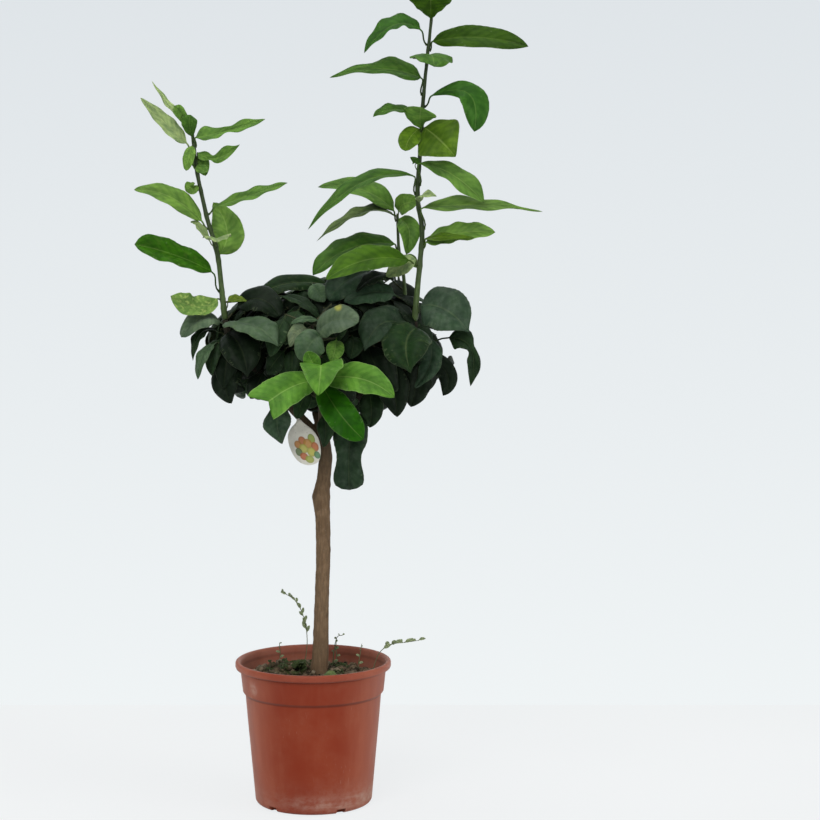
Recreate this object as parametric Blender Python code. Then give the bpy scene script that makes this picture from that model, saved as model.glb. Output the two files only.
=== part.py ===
"""Potted bergamot orange tree: a young grafted citrus in a 5 litre nursery pot.

Metres, +Z up. The origin is the centre of the pot's flat underside. The tree's
front faces -Y. Every leaf is its own object, and each stem, the soil, the label
and the weeds that came up in the soil are objects of their own too.
"""

import math

import bmesh
import bpy
from mathutils import Matrix, Vector, noise
from mathutils.bvhtree import BVHTree

# Driving dimensions -------------------------------------------------------

GAP = 0.0003                # clearance between pieces that touch
MERGE = 0.00001             # merge distance for coincident vertices

POT_HEIGHT = 0.198
LIP_RADIUS = 0.1067         # widest point, the rolled lip
LIP_DEPTH = 0.010
COLLAR_TOP_RADIUS = 0.1002
COLLAR_FOOT_RADIUS = 0.0967
COLLAR_FOOT_Z = 0.1555
STEP_DEPTH = 0.0028         # how far the body sits in under the collar
BODY_TOP_RADIUS = 0.0935
BODY_FOOT_RADIUS = 0.0805
FOOT_ROUND = 0.007          # rounded corner round the base
WALL = 0.0017
POT_BASE = 0.0045           # thickness of the base
POT_SEGMENTS = 48

NOTCH_ANGLES = (12, 84, 156, 228, 300)   # drainage notches, degrees
NOTCH_WIDTH = 0.013
NOTCH_HEIGHT = 0.0068
NOTCH_INNER_RADIUS = 0.070

SOIL_Z = 0.1765             # soil surface at the pot wall
SOIL_MOUND = 0.0025         # rise towards the trunk
SOIL_LUMPS = 0.0012
SOIL_SEGMENTS = 24

TRUNK_ROOT_Z = 0.120        # how deep the stem goes down in the soil
TRUNK_SOCKET_RADIUS = 0.0125
TRUNK_X = 0.008

TUBE_SIDES = 10
SHOOT_SIDES = 8
PATH_STEPS = 3              # rings per stretch of a stem

PETIOLE_SHARE = 0.13        # share of a leaf's length that is its stalk
PETIOLE_RADIUS = 0.0009
BLADE_THICKNESS = 0.0010
TIP_HALF_WIDTH = 0.0006
LEAF_STATIONS = (0.0, 0.12, 0.18, 0.30, 0.44, 0.58, 0.72, 0.86, 0.95, 1.0)
WEED_STATIONS = (0.0, 0.25, 0.6, 0.85, 1.0)

LABEL_THICKNESS = 0.0006
LABEL_HEIGHT = 0.536        # where its strap goes round the left limb
LABEL_LOOP_HALF_DEPTH = 0.0100
LABEL_STRAP_WIDTH = 0.0040
LABEL_FORWARD = 0.0125      # the blade hangs this far in front of the limb
LABEL_LENGTH = 0.067
LABEL_LEAN = 0.004          # how far the foot hangs to the right of the loop
LABEL_WIDTHS = ((0.0, 0.010), (0.003, 0.022), (0.010, 0.034), (0.020, 0.0405), (0.030, 0.0425),
                (0.040, 0.040), (0.049, 0.030), (0.055, 0.017), (0.059, 0.008))

# Stems: centre line points and radii, from the foot up --------------------

TRUNK_LINE = (
    ((TRUNK_X, 0.0, TRUNK_ROOT_Z), 0.0105),
    ((TRUNK_X, 0.0, 0.178), 0.0115),
    ((TRUNK_X, 0.0, 0.186), 0.0118),
    ((0.010, 0.0, 0.208), 0.0113),
    ((0.011, 0.0, 0.246), 0.0104),
    ((0.012, 0.0, 0.283), 0.0098),
    ((0.014, 0.0, 0.330), 0.0098),
    ((0.014, 0.0, 0.390), 0.0100),
    ((0.012, 0.0, 0.424), 0.0122),      # graft union
    ((0.015, 0.0, 0.447), 0.0096),
    ((0.018, 0.0, 0.480), 0.0090),
    ((0.013, 0.0, 0.509), 0.0098),      # fork
    ((0.012, 0.0, 0.517), 0.0070),
)
LIMB_LINES = {
    "left_limb": (
        ((0.012, 0.0, 0.504), 0.0066),
        ((-0.029, 0.0, 0.547), 0.0060),
        ((-0.075, -0.020, 0.600), 0.0055),
        ((-0.108, -0.027, 0.645), 0.0050),
        ((-0.1135, -0.0295, 0.658), 0.0047),
        ((-0.1150, -0.0300, 0.668), 0.0045),
    ),
    "right_limb": (
        ((0.014, 0.0, 0.504), 0.0066),
        ((0.060, -0.020, 0.560), 0.0060),
        ((0.110, -0.045, 0.615), 0.0055),
        ((0.1350, -0.0565, 0.649), 0.0048),
        ((0.1395, -0.0590, 0.668), 0.0045),
    ),
    "back_limb": (
        ((0.013, 0.002, 0.506), 0.0060),
        ((0.018, 0.040, 0.555), 0.0052),
        ((0.024, 0.085, 0.610), 0.0045),
        ((0.020, 0.115, 0.665), 0.0034),
    ),
    "front_limb": (
        ((0.013, -0.002, 0.506), 0.0050),
        ((0.014, -0.050, 0.545), 0.0043),
        ((0.015, -0.105, 0.585), 0.0037),
        ((0.010, -0.105, 0.625), 0.0031),
        ((0.004, -0.092, 0.665), 0.0026),
    ),
    "centre_limb": (
        ((0.012, 0.0, 0.510), 0.0056),
        ((0.000, 0.020, 0.570), 0.0048),
        ((0.018, 0.030, 0.640), 0.0040),
        ((0.028, 0.022, 0.700), 0.0032),
        ((0.028, 0.018, 0.722), 0.0028),
    ),
}
SHOOT_LINES = {
    "left_shoot": (
        ((-0.1151, -0.0300, 0.6684), 0.0042),
        ((-0.119, -0.030, 0.705), 0.0035),
        ((-0.125, -0.030, 0.758), 0.0032),
        ((-0.139, -0.025, 0.806), 0.0029),
        ((-0.152, -0.020, 0.867), 0.0025),
        ((-0.157, -0.020, 0.912), 0.0020),
        ((-0.158, -0.020, 0.922), 0.0016),
    ),
    "right_shoot": (
        ((0.1396, -0.0590, 0.6684), 0.0043),
        ((0.144, -0.060, 0.724), 0.0038),
        ((0.149, -0.060, 0.786), 0.0036),
        ((0.143, -0.060, 0.834), 0.0034),
        ((0.147, -0.060, 0.900), 0.0031),
        ((0.152, -0.060, 0.980), 0.0028),
        ((0.160, -0.060, 1.055), 0.0024),
        ((0.164, -0.060, 1.108), 0.0016),
    ),
    "centre_shoot": (
        ((0.1244, -0.0440, 0.6336), 0.0026),
        ((0.126, -0.025, 0.708), 0.0025),
        ((0.118, -0.020, 0.764), 0.0021),
        ((0.116, -0.020, 0.810), 0.0016),
    ),
}

# Leaves: name, stem, height of the joint, middle of the midrib, tip, width,
# direction the upper side faces, fold and twist in degrees, tone ----------

LEAVES = (
    ("left_shoot_leaf_1", "left_shoot", 0.706, (-0.176, -0.050, 0.752), (-0.227, -0.070, 0.772),
     0.042, (0.1, -0.75, 0.6), 12, 0, "green"),
    ("left_shoot_leaf_2", "left_shoot", 0.790, (-0.176, -0.040, 0.823), (-0.232, -0.050, 0.841),
     0.040, (-0.1, -0.55, 0.8), 14, 0, "fresh"),
    ("left_shoot_leaf_3", "left_shoot", 0.748, (-0.110, 0.000, 0.786), (-0.129, 0.020, 0.823),
     0.046, (0.2, -1.0, 0.1), 8, 0, "fresh"),
    ("left_shoot_leaf_4", "left_shoot", 0.808, (-0.087, -0.030, 0.834), (-0.031, -0.030, 0.851),
     0.032, (0.0, -0.25, 1.0), 15, 0, "fresh"),
    ("left_shoot_leaf_5", "left_shoot", 0.882, (-0.128, -0.030, 0.885), (-0.093, -0.050, 0.901),
     0.026, (0.1, -0.6, 0.8), 15, 30, "fresh"),
    ("left_shoot_leaf_6", "left_shoot", 0.898, (-0.115, -0.010, 0.918), (-0.061, 0.000, 0.936),
     0.030, (0.0, -0.45, 0.9), 18, 25, "fresh"),
    ("left_shoot_leaf_7", "left_shoot", 0.893, (-0.193, -0.040, 0.929), (-0.221, -0.060, 0.962),
     0.030, (0.4, -0.8, 0.4), 12, 0, "pale"),
    ("left_shoot_leaf_8", "left_shoot", 0.916, (-0.178, -0.025, 0.948), (-0.209, -0.030, 0.986),
     0.018, (0.5, -0.6, 0.5), 20, 0, "pale"),
    ("left_shoot_leaf_9", "left_shoot", 0.696, (-0.151, -0.060, 0.691), (-0.181, -0.080, 0.702),
     0.032, (0.0, -0.8, 0.5), 10, 0, "lime"),
    ("left_shoot_leaf_10", "left_shoot", 0.846, (-0.160, 0.030, 0.872), (-0.170, 0.065, 0.856),
     0.030, (0.0, 0.35, 1.0), 14, 0, "green"),
    ("right_shoot_leaf_1", "right_shoot", 1.092, (0.150, -0.062, 1.124), (0.136, -0.070, 1.151),
     0.026, (0.3, -0.6, 0.7), 18, 0, "fresh"),
    ("right_shoot_leaf_2", "right_shoot", 1.066, (0.160, -0.095, 1.082), (0.159, -0.130, 1.095),
     0.044, (0.0, -0.5, 0.85), 32, 0, "green"),
    ("right_shoot_leaf_3", "right_shoot", 1.031, (0.117, -0.070, 1.064), (0.074, -0.080, 1.021),
     0.034, (-0.3, -0.4, 0.85), 24, 0, "green"),
    ("right_shoot_leaf_4", "right_shoot", 1.024, (0.217, -0.080, 1.047), (0.287, -0.095, 1.028),
     0.038, (0.0, -0.6, 0.8), 12, 0, "green"),
    ("right_shoot_leaf_5", "right_shoot", 0.966, (0.100, -0.080, 0.999), (0.031, -0.090, 0.991),
     0.042, (-0.1, -0.55, 0.8), 14, -40, "green"),
    ("right_shoot_leaf_6", "right_shoot", 0.951, (0.205, -0.080, 0.980), (0.217, -0.090, 0.918),
     0.042, (0.3, -0.5, 0.8), 14, 0, "green"),
    ("right_shoot_leaf_7", "right_shoot", 0.926, (0.117, -0.090, 0.946), (0.086, -0.100, 0.934),
     0.036, (0.0, -0.3, 0.95), 16, 0, "green"),
    ("right_shoot_leaf_8", "right_shoot", 0.916, (0.172, -0.085, 0.910), (0.192, -0.100, 0.885),
     0.046, (0.1, -1.0, 0.15), 8, 0, "fresh"),
    ("right_shoot_leaf_9", "right_shoot", 0.848, (0.183, -0.085, 0.863), (0.229, -0.100, 0.830),
     0.038, (0.1, -0.6, 0.8), 12, 0, "fresh"),
    ("right_shoot_leaf_10", "right_shoot", 0.836, (0.075, -0.090, 0.856), (0.000, -0.120, 0.792),
     0.042, (-0.1, -0.5, 0.85), 16, 0, "green"),
    ("right_shoot_leaf_11", "right_shoot", 0.790, (0.219, -0.080, 0.822), (0.308, -0.090, 0.816),
     0.034, (0.0, -0.28, 1.0), 14, 0, "fresh"),
    ("right_shoot_leaf_12", "right_shoot", 0.766, (0.197, -0.080, 0.786), (0.243, -0.090, 0.789),
     0.036, (0.0, -0.7, 0.7), 10, 0, "fresh"),
    ("right_shoot_leaf_13", "right_shoot", 0.742, (0.078, -0.100, 0.757), (0.025, -0.120, 0.728),
     0.046, (-0.1, -0.7, 0.7), 10, 0, "green"),
    ("right_shoot_leaf_14", "right_shoot", 0.894, (0.133, -0.010, 0.926), (0.124, 0.030, 0.910),
     0.032, (0.0, 0.35, 1.0), 14, 0, "green"),
    ("centre_shoot_leaf_1", "centre_shoot", 0.800, (0.068, -0.040, 0.811), (0.009, -0.060, 0.774),
     0.032, (0.1, -0.25, 0.95), 16, 0, "green"),
    ("centre_shoot_leaf_2", "centre_shoot", 0.762, (0.058, -0.040, 0.773), (0.004, -0.060, 0.731),
     0.046, (-0.2, -0.5, 0.85), 12, 0, "green"),
    ("front_leaf_1", "front_limb", 0.602, (0.018, -0.160, 0.616), (0.015, -0.185, 0.581),
     0.058, (0.0, -0.75, 0.65), 8, 0, "fresh"),
    ("front_leaf_2", "front_limb", 0.594, (-0.027, -0.140, 0.583), (-0.047, -0.160, 0.544),
     0.054, (-0.2, -0.8, 0.55), 8, 0, "fresh"),
    ("front_leaf_3", "front_limb", 0.596, (0.073, -0.150, 0.602), (0.113, -0.170, 0.577),
     0.042, (0.15, -0.8, 0.6), 8, 0, "fresh"),
    ("front_leaf_4", "front_limb", 0.588, (0.043, -0.150, 0.551), (0.073, -0.155, 0.519),
     0.046, (0.1, -0.95, 0.3), 8, 0, "gloss"),
    ("low_leaf_1", "left_limb", 0.560, (-0.038, -0.048, 0.533), (-0.040, -0.055, 0.503),
     0.036, (-0.3, -0.9, 0.2), 8, 0, "dark"),
    ("low_leaf_2", "front_limb", 0.548, (0.021, -0.070, 0.526), (0.018, -0.075, 0.501),
     0.026, (-0.2, -1.0, 0.0), 10, 0, "dark"),
    ("low_leaf_3", "right_limb", 0.552, (0.052, -0.075, 0.495), (0.052, -0.070, 0.443),
     0.047, (0.0, -1.0, 0.1), 6, 0, "dark"),
    ("crown_leaf_1", "left_limb", 0.664, (-0.140, -0.050, 0.672), (-0.171, -0.060, 0.647),
     0.038, (-0.2, -0.35, 0.9), 12, 0, "dusty"),
    ("crown_leaf_2", "left_limb", 0.620, (-0.113, -0.052, 0.588), (-0.105, -0.058, 0.558),
     0.044, (-0.2, -0.95, 0.15), 10, 15, "dark"),
    ("crown_leaf_3", "left_limb", 0.645, (-0.085, -0.100, 0.627), (-0.079, -0.110, 0.599),
     0.050, (0.1, -0.95, 0.3), 10, 0, "dark"),
    ("crown_leaf_4", "left_limb", 0.660, (-0.070, -0.090, 0.664), (-0.041, -0.110, 0.638),
     0.048, (0.2, -0.45, 0.9), 16, 0, "dusty"),
    ("crown_leaf_5", "centre_limb", 0.712, (-0.035, 0.000, 0.721), (-0.067, -0.010, 0.705),
     0.042, (-0.1, -0.5, 0.85), 14, 0, "dark"),
    ("crown_leaf_6", "front_limb", 0.655, (0.035, -0.120, 0.675), (0.063, -0.130, 0.690),
     0.054, (0.1, -0.6, 0.8), 14, 0, "dusty"),
    ("crown_leaf_7", "right_limb", 0.658, (0.100, -0.100, 0.670), (0.076, -0.120, 0.631),
     0.056, (-0.2, -0.75, 0.6), 12, 0, "dark"),
    ("crown_leaf_8", "right_limb", 0.648, (0.124, -0.115, 0.642), (0.130, -0.125, 0.606),
     0.056, (-0.1, -0.95, 0.3), 10, 0, "dark"),
    ("crown_leaf_9", "right_shoot", 0.680, (0.182, -0.080, 0.694), (0.211, -0.090, 0.653),
     0.058, (0.2, -0.7, 0.7), 12, 0, "dusty"),
    ("crown_leaf_10", "right_limb", 0.628, (0.183, -0.040, 0.607), (0.181, -0.045, 0.569),
     0.028, (0.0, -1.0, 0.0), 10, 0, "dark"),
    ("crown_leaf_11", "right_limb", 0.640, (0.208, -0.050, 0.637), (0.213, -0.055, 0.582),
     0.038, (0.6, -0.4, 0.6), 16, -50, "dark"),
    ("back_leaf_1", "back_limb", 0.640, (0.018, 0.165, 0.665), (0.008, 0.200, 0.630),
     0.050, (0.0, 0.6, 0.8), 12, 0, "dark"),
    ("back_leaf_2", "back_limb", 0.615, (-0.035, 0.130, 0.635), (-0.085, 0.160, 0.600),
     0.048, (-0.2, 0.5, 0.8), 12, 0, "dark"),
    ("back_leaf_3", "back_limb", 0.628, (0.085, 0.130, 0.645), (0.130, 0.155, 0.612),
     0.050, (0.2, 0.5, 0.8), 12, 0, "dark"),
)

# Weeds: name, stem points, number of leaves, leaf length, leaf width ------

WEEDS = (
    ("tall_weed", ((-0.014, 0.040, 0.1825), (-0.012, 0.040, 0.215), (-0.015, 0.040, 0.250),
                   (-0.026, 0.040, 0.276), (-0.046, 0.040, 0.287)), 11, 0.011, 0.0065),
    ("rim_weed", ((0.080, 0.022, 0.1805), (0.090, 0.026, 0.201), (0.107, 0.029, 0.213),
                  (0.128, 0.030, 0.218), (0.148, 0.030, 0.219)), 8, 0.009, 0.005),
    ("weed_tuft", ((-0.019, -0.016, 0.1830), (-0.018, -0.016, 0.192), (-0.017, -0.016, 0.200)),
     9, 0.015, 0.008),
    ("back_seedling", ((0.031, 0.050, 0.1825), (0.030, 0.050, 0.200), (0.030, 0.051, 0.213)),
     5, 0.009, 0.0055),
    ("left_seedling", ((-0.049, 0.045, 0.1820), (-0.048, 0.045, 0.198), (-0.049, 0.046, 0.212)),
     5, 0.009, 0.0055),
)
WEED_STEM_RADIUS = 0.0007
GOLDEN_ANGLE = math.radians(137.5)

MATERIALS = {
    "pot": ((0.245, 0.047, 0.021), 0.55),
    "soil": ((0.030, 0.020, 0.012), 0.95),
    "bark": ((0.150, 0.100, 0.060), 0.85),
    "green_stem": ((0.090, 0.130, 0.040), 0.60),
    "label": ((0.370, 0.355, 0.300), 0.45),
    "weed": ((0.100, 0.180, 0.040), 0.60),
    "dark": ((0.030, 0.060, 0.028), 0.45),
    "green": ((0.060, 0.120, 0.020), 0.40),
    "fresh": ((0.110, 0.210, 0.050), 0.42),
    "gloss": ((0.025, 0.090, 0.010), 0.28),
    "dusty": ((0.080, 0.115, 0.075), 0.60),
    "pale": ((0.260, 0.350, 0.170), 0.50),
    "lime": ((0.220, 0.330, 0.060), 0.45),
}


# Scene and objects --------------------------------------------------------

def clear_scene():
    """Remove every object of the open scene."""
    for old in list(bpy.data.objects):
        bpy.data.objects.remove(old, do_unlink=True)


def make_material(name):
    """A plain finish from the MATERIALS table."""
    colour, roughness = MATERIALS[name]
    material = bpy.data.materials.new(name)
    material.use_nodes = True
    shader = material.node_tree.nodes["Principled BSDF"]
    shader.inputs["Base Color"].default_value = (*colour, 1.0)
    shader.inputs["Roughness"].default_value = roughness
    shader.inputs["Metallic"].default_value = 0.0
    return material


def add_object(name, bm, material_name):
    """Turn a bmesh into a smooth shaded object with its own finish."""
    bmesh.ops.remove_doubles(bm, verts=bm.verts, dist=MERGE)
    bmesh.ops.recalc_face_normals(bm, faces=bm.faces)
    mesh = bpy.data.meshes.new(name)
    bm.to_mesh(mesh)
    bm.free()
    mesh.shade_smooth()
    mesh.set_sharp_from_angle(angle=math.radians(40))
    mesh.materials.append(make_material(material_name))
    obj = bpy.data.objects.new(name, mesh)
    bpy.context.scene.collection.objects.link(obj)
    return obj


def hide_cutter(cutter):
    """A shape that only cuts or joins is a wire guide, not a piece."""
    cutter.hide_render = True
    cutter.display_type = "WIRE"
    cutter.hide_set(True)


def add_boolean(obj, cutter, operation):
    """Join or cut obj with a hidden cutter."""
    hide_cutter(cutter)
    modifier = obj.modifiers.new(cutter.name, "BOOLEAN")
    modifier.operation = operation
    modifier.solver = "EXACT"
    modifier.object = cutter


# Shapes -------------------------------------------------------------------

def spin_profile(profile, segments):
    """Turn a list of (radius, z) points about Z. The ends lie on the axis."""
    bm = bmesh.new()
    verts = [bm.verts.new((radius, 0.0, z)) for radius, z in profile]
    edges = [bm.edges.new(pair) for pair in zip(verts, verts[1:])]
    bmesh.ops.spin(bm, geom=verts + edges, cent=(0, 0, 0), axis=(0, 0, 1),
                   angle=math.tau, steps=segments, use_merge=True)
    bmesh.ops.remove_doubles(bm, verts=bm.verts, dist=MERGE)
    return bm


def smooth_path(line, steps):
    """Points and radii along a Catmull-Rom curve through a stem's points."""
    points = [Vector(point) for point, radius in line]
    radii = [radius for point, radius in line]
    first = points[0] * 2 - points[1]
    last = points[-1] * 2 - points[-2]
    padded = [first, *points, last]
    path = []
    for index in range(len(points) - 1):
        p0, p1, p2, p3 = padded[index:index + 4]
        for step in range(steps):
            t = step / steps
            bend = (2 * p0 - 5 * p1 + 4 * p2 - p3) * t ** 2
            swing = (3 * p1 - p0 - 3 * p2 + p3) * t ** 3
            centre = (2 * p1 + (p2 - p0) * t + bend + swing) / 2
            radius = radii[index] * (1 - t) + radii[index + 1] * t
            path.append((centre, radius))
    path.append((points[-1], radii[-1]))
    return path


def path_frames(path):
    """Each path point with a side and an up vector that don't twist."""
    frames = []
    side = Vector((1, 0, 0))
    for index, (centre, radius) in enumerate(path):
        before = path[max(index - 1, 0)][0]
        after = path[min(index + 1, len(path) - 1)][0]
        along = (after - before).normalized()
        side = (side - along * side.dot(along)).normalized()
        frames.append((centre, radius, side, along.cross(side)))
    return frames


def add_rings(bm, rings):
    """Skin a list of rings with equal counts of points and close both ends."""
    loops = [[bm.verts.new(point) for point in ring] for ring in rings]
    for lower, upper in zip(loops, loops[1:]):
        for index in range(len(lower)):
            after = (index + 1) % len(lower)
            bm.faces.new((lower[index], lower[after], upper[after], upper[index]))
    bm.faces.new(reversed(loops[0]))
    bm.faces.new(loops[-1])


def skin_blade(bm, rings):
    """Skin the four-point rings of a leaf, its two faces divided alike so that they never cross."""
    loops = [[bm.verts.new(point) for point in ring] for ring in rings]
    for lower, upper in zip(loops, loops[1:]):
        for edge in (0, 2):
            for middle in (1, 3):
                bm.faces.new((lower[edge], lower[middle], upper[middle]))
                bm.faces.new((lower[edge], upper[middle], upper[edge]))
    bm.faces.new(loops[0])
    bm.faces.new(loops[-1])


def add_tube(bm, line, sides, steps):
    """A round tapered stem along a smooth path."""
    rings = []
    for centre, radius, side, up in path_frames(smooth_path(line, steps)):
        ring = []
        for index in range(sides):
            angle = math.tau * index / sides
            ring.append(centre + (side * math.cos(angle) + up * math.sin(angle)) * radius)
        rings.append(ring)
    add_rings(bm, rings)


def stem_joint(line, height):
    """Centre, radius and direction of a stem at a height."""
    path = smooth_path(line, PATH_STEPS)
    for (low, low_radius), (high, high_radius) in zip(path, path[1:]):
        if low.z <= height <= high.z:
            t = (height - low.z) / (high.z - low.z)
            radius = low_radius * (1 - t) + high_radius * t
            return low.lerp(high, t), radius, (high - low).normalized()
    raise ValueError(f"no stem at height {height}")


def leaf_base(line, height, middle):
    """Where a leaf's stalk meets its stem, and the way it leaves it."""
    centre, radius, along = stem_joint(line, height)
    outward = middle - centre
    outward = (outward - along * outward.dot(along)).normalized()
    return centre + outward * (radius + GAP), outward


def blade_half_width(share, width):
    """Half the blade's width at a share of the blade's length."""
    outline = math.sin(math.pi * min(max(share, 0.0), 1.0) ** 0.85) ** 0.75
    return max(width / 2 * outline, TIP_HALF_WIDTH)


def add_leaf(bm, base, outward, middle, tip, width, face, fold, twist, stations):
    """A folded leaf blade with its stalk, curved through base, middle and tip."""
    rings = []
    for u in stations:
        centre = (base * (1 - 2 * u) * (1 - u) + middle * 4 * u * (1 - u)
                  + tip * u * (2 * u - 1))
        along = (base * (4 * u - 3) + middle * (4 - 8 * u) + tip * (4 * u - 1)).normalized()
        if u == 0.0:
            along = outward
        up = (face - along * face.dot(along)).normalized()
        up = Matrix.Rotation(math.radians(twist) * u, 3, along) @ up
        side = along.cross(up)
        share = (u - PETIOLE_SHARE) / (1 - PETIOLE_SHARE)
        if share <= 0.0:
            half_width = PETIOLE_RADIUS
            half_depth = PETIOLE_RADIUS
            rise = 0.0
        else:
            half_width = blade_half_width(share, width)
            half_depth = BLADE_THICKNESS / 2
            rise = half_width * math.sin(math.radians(fold))
            half_width *= math.cos(math.radians(fold))
        rings.append([
            centre - side * half_width + up * rise,
            centre + up * half_depth,
            centre + side * half_width + up * rise,
            centre - up * half_depth,
        ])
    skin_blade(bm, rings)


# Pieces -------------------------------------------------------------------

def pot_profile():
    """Half section of the pot: up the outside, over the lip and down inside."""
    body_top_z = COLLAR_FOOT_Z - STEP_DEPTH
    lip_z = POT_HEIGHT - LIP_DEPTH
    outside = [(0.0, 0.0), (BODY_FOOT_RADIUS - FOOT_ROUND, 0.0)]
    for degrees in (30, 60, 90):
        turn = math.radians(degrees)
        outside.append((BODY_FOOT_RADIUS - FOOT_ROUND * (1 - math.sin(turn)),
                        FOOT_ROUND * (1 - math.cos(turn))))
    outside += [(BODY_TOP_RADIUS, body_top_z), (COLLAR_FOOT_RADIUS, COLLAR_FOOT_Z),
                (COLLAR_TOP_RADIUS, lip_z - 0.001), (LIP_RADIUS - 0.002, lip_z),
                (LIP_RADIUS, lip_z + 0.0025), (LIP_RADIUS, POT_HEIGHT - 0.0025),
                (LIP_RADIUS - 0.0020, POT_HEIGHT)]
    inside = [(COLLAR_TOP_RADIUS + 0.0012, POT_HEIGHT), (COLLAR_TOP_RADIUS - WALL, lip_z - 0.001),
              (COLLAR_FOOT_RADIUS - WALL, COLLAR_FOOT_Z), (BODY_TOP_RADIUS - WALL, body_top_z),
              (BODY_FOOT_RADIUS - WALL, FOOT_ROUND + 0.001),
              (BODY_FOOT_RADIUS - WALL - 0.003, POT_BASE), (0.0, POT_BASE)]
    return outside + inside


def build_pot():
    """The nursery pot, with drainage notches cut through its bottom corner."""
    pot = add_object("pot", spin_profile(pot_profile(), POT_SEGMENTS), "pot")
    bm = bmesh.new()
    reach = BODY_FOOT_RADIUS + 0.010 - NOTCH_INNER_RADIUS
    for degrees in NOTCH_ANGLES:
        turn = Matrix.Rotation(math.radians(degrees), 4, "Z")
        centre = Matrix.Translation((NOTCH_INNER_RADIUS + reach / 2, 0, 0))
        size = Matrix.Diagonal((reach, NOTCH_WIDTH, NOTCH_HEIGHT * 2, 1))
        bmesh.ops.create_cube(bm, size=1.0, matrix=turn @ centre @ size)
    notches = add_object("notch_cutter", bm, "pot")
    add_boolean(pot, notches, "DIFFERENCE")


def soil_profile():
    """Half section of the soil, which fills the pot up to its surface."""
    wall = WALL + GAP * 2
    body_top_z = COLLAR_FOOT_Z - STEP_DEPTH
    taper = (COLLAR_TOP_RADIUS - COLLAR_FOOT_RADIUS) / (POT_HEIGHT - LIP_DEPTH - COLLAR_FOOT_Z)
    surface_radius = COLLAR_FOOT_RADIUS + taper * (SOIL_Z - COLLAR_FOOT_Z) - wall
    profile = [(0.0, POT_BASE + GAP), (BODY_FOOT_RADIUS - wall - 0.0035, POT_BASE + GAP),
               (BODY_FOOT_RADIUS - wall, FOOT_ROUND + 0.002),
               (BODY_TOP_RADIUS - wall, body_top_z - GAP),
               (COLLAR_FOOT_RADIUS - wall, COLLAR_FOOT_Z + GAP), (surface_radius, SOIL_Z)]
    for share in (0.84, 0.66, 0.48, 0.30, 0.14):
        rise = SOIL_MOUND * (1 - share ** 2)
        profile.append((surface_radius * share, SOIL_Z + rise))
    profile.append((0.0, SOIL_Z + SOIL_MOUND))
    return profile


def build_soil():
    """Lumpy potting soil, with a socket where the trunk goes down into it."""
    bm = spin_profile(soil_profile(), SOIL_SEGMENTS)
    for vert in bm.verts:
        if vert.co.z > SOIL_Z + GAP:
            vert.co.z += SOIL_LUMPS * noise.noise(vert.co * 60)
    soil = add_object("potting_soil", bm, "soil")
    bm = bmesh.new()
    depth = SOIL_Z + 0.02 - TRUNK_ROOT_Z + GAP
    place = Matrix.Translation((TRUNK_X, 0, TRUNK_ROOT_Z - GAP + depth / 2))
    bmesh.ops.create_cone(bm, cap_ends=True, segments=16, radius1=TRUNK_SOCKET_RADIUS,
                          radius2=TRUNK_SOCKET_RADIUS, depth=depth, matrix=place)
    add_boolean(soil, add_object("socket_cutter", bm, "soil"), "DIFFERENCE")
    return soil


def build_trunk():
    """The trunk and its woody limbs, grown as one piece."""
    bm = bmesh.new()
    add_tube(bm, TRUNK_LINE, TUBE_SIDES, PATH_STEPS)
    trunk = add_object("trunk", bm, "bark")
    for name, line in LIMB_LINES.items():
        bm = bmesh.new()
        add_tube(bm, line, TUBE_SIDES, PATH_STEPS)
        add_boolean(trunk, add_object(name, bm, "bark"), "UNION")


def build_shoots():
    """The long green shoots that stand above the crown."""
    for name, line in SHOOT_LINES.items():
        bm = bmesh.new()
        add_tube(bm, line, SHOOT_SIDES, PATH_STEPS)
        add_object(name, bm, "green_stem")


def build_leaves():
    """Every leaf on its stem."""
    lines = {**LIMB_LINES, **SHOOT_LINES}
    for name, stem, height, middle, tip, width, face, fold, twist, tone in LEAVES:
        bm = bmesh.new()
        middle = Vector(middle)
        base, outward = leaf_base(lines[stem], height, middle)
        add_leaf(bm, base, outward, middle, Vector(tip), width, Vector(face), fold, twist,
                 LEAF_STATIONS)
        add_object(name, bm, tone)


def label_stations():
    """Centre and width of the label's strip, from its foot to the strap's end."""
    centre, radius, along = stem_joint(LIMB_LINES["left_limb"], LABEL_HEIGHT)
    slope = abs(along.z / along.x)
    half_height = (radius * math.hypot(1, slope) + LABEL_STRAP_WIDTH / 2 * slope
                   + LABEL_THICKNESS / 2 + GAP)
    foot = centre + Vector((LABEL_LEAN, -LABEL_FORWARD, -LABEL_LENGTH))
    stations = []
    for rise, width in LABEL_WIDTHS:
        lean = -LABEL_LEAN * rise / LABEL_LENGTH
        stations.append((foot + Vector((lean, 0, rise)), width))
    neck = centre + Vector((0, -LABEL_FORWARD + 0.001, -half_height * 0.45))
    stations.append((neck, LABEL_STRAP_WIDTH))
    for degrees in range(180, -151, -30):
        turn = math.radians(degrees)
        reach = Vector((0, LABEL_LOOP_HALF_DEPTH * math.cos(turn), half_height * math.sin(turn)))
        stations.append((centre + reach, LABEL_STRAP_WIDTH))
    return stations


def build_label():
    """A drop shaped plastic label whose strap loops round the left limb."""
    stations = label_stations()
    rings = []
    across = Vector((1, 0, 0))
    for index, (centre, width) in enumerate(stations):
        before = stations[max(index - 1, 0)][0]
        after = stations[min(index + 1, len(stations) - 1)][0]
        along = after - before
        along.x = 0.0
        normal = across.cross(along.normalized())
        half = across * width / 2
        depth = normal * LABEL_THICKNESS / 2
        rings.append([centre - half - depth, centre + half - depth,
                      centre + half + depth, centre - half + depth])
    bm = bmesh.new()
    add_rings(bm, rings)
    add_object("plant_label", bm, "label")


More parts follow.
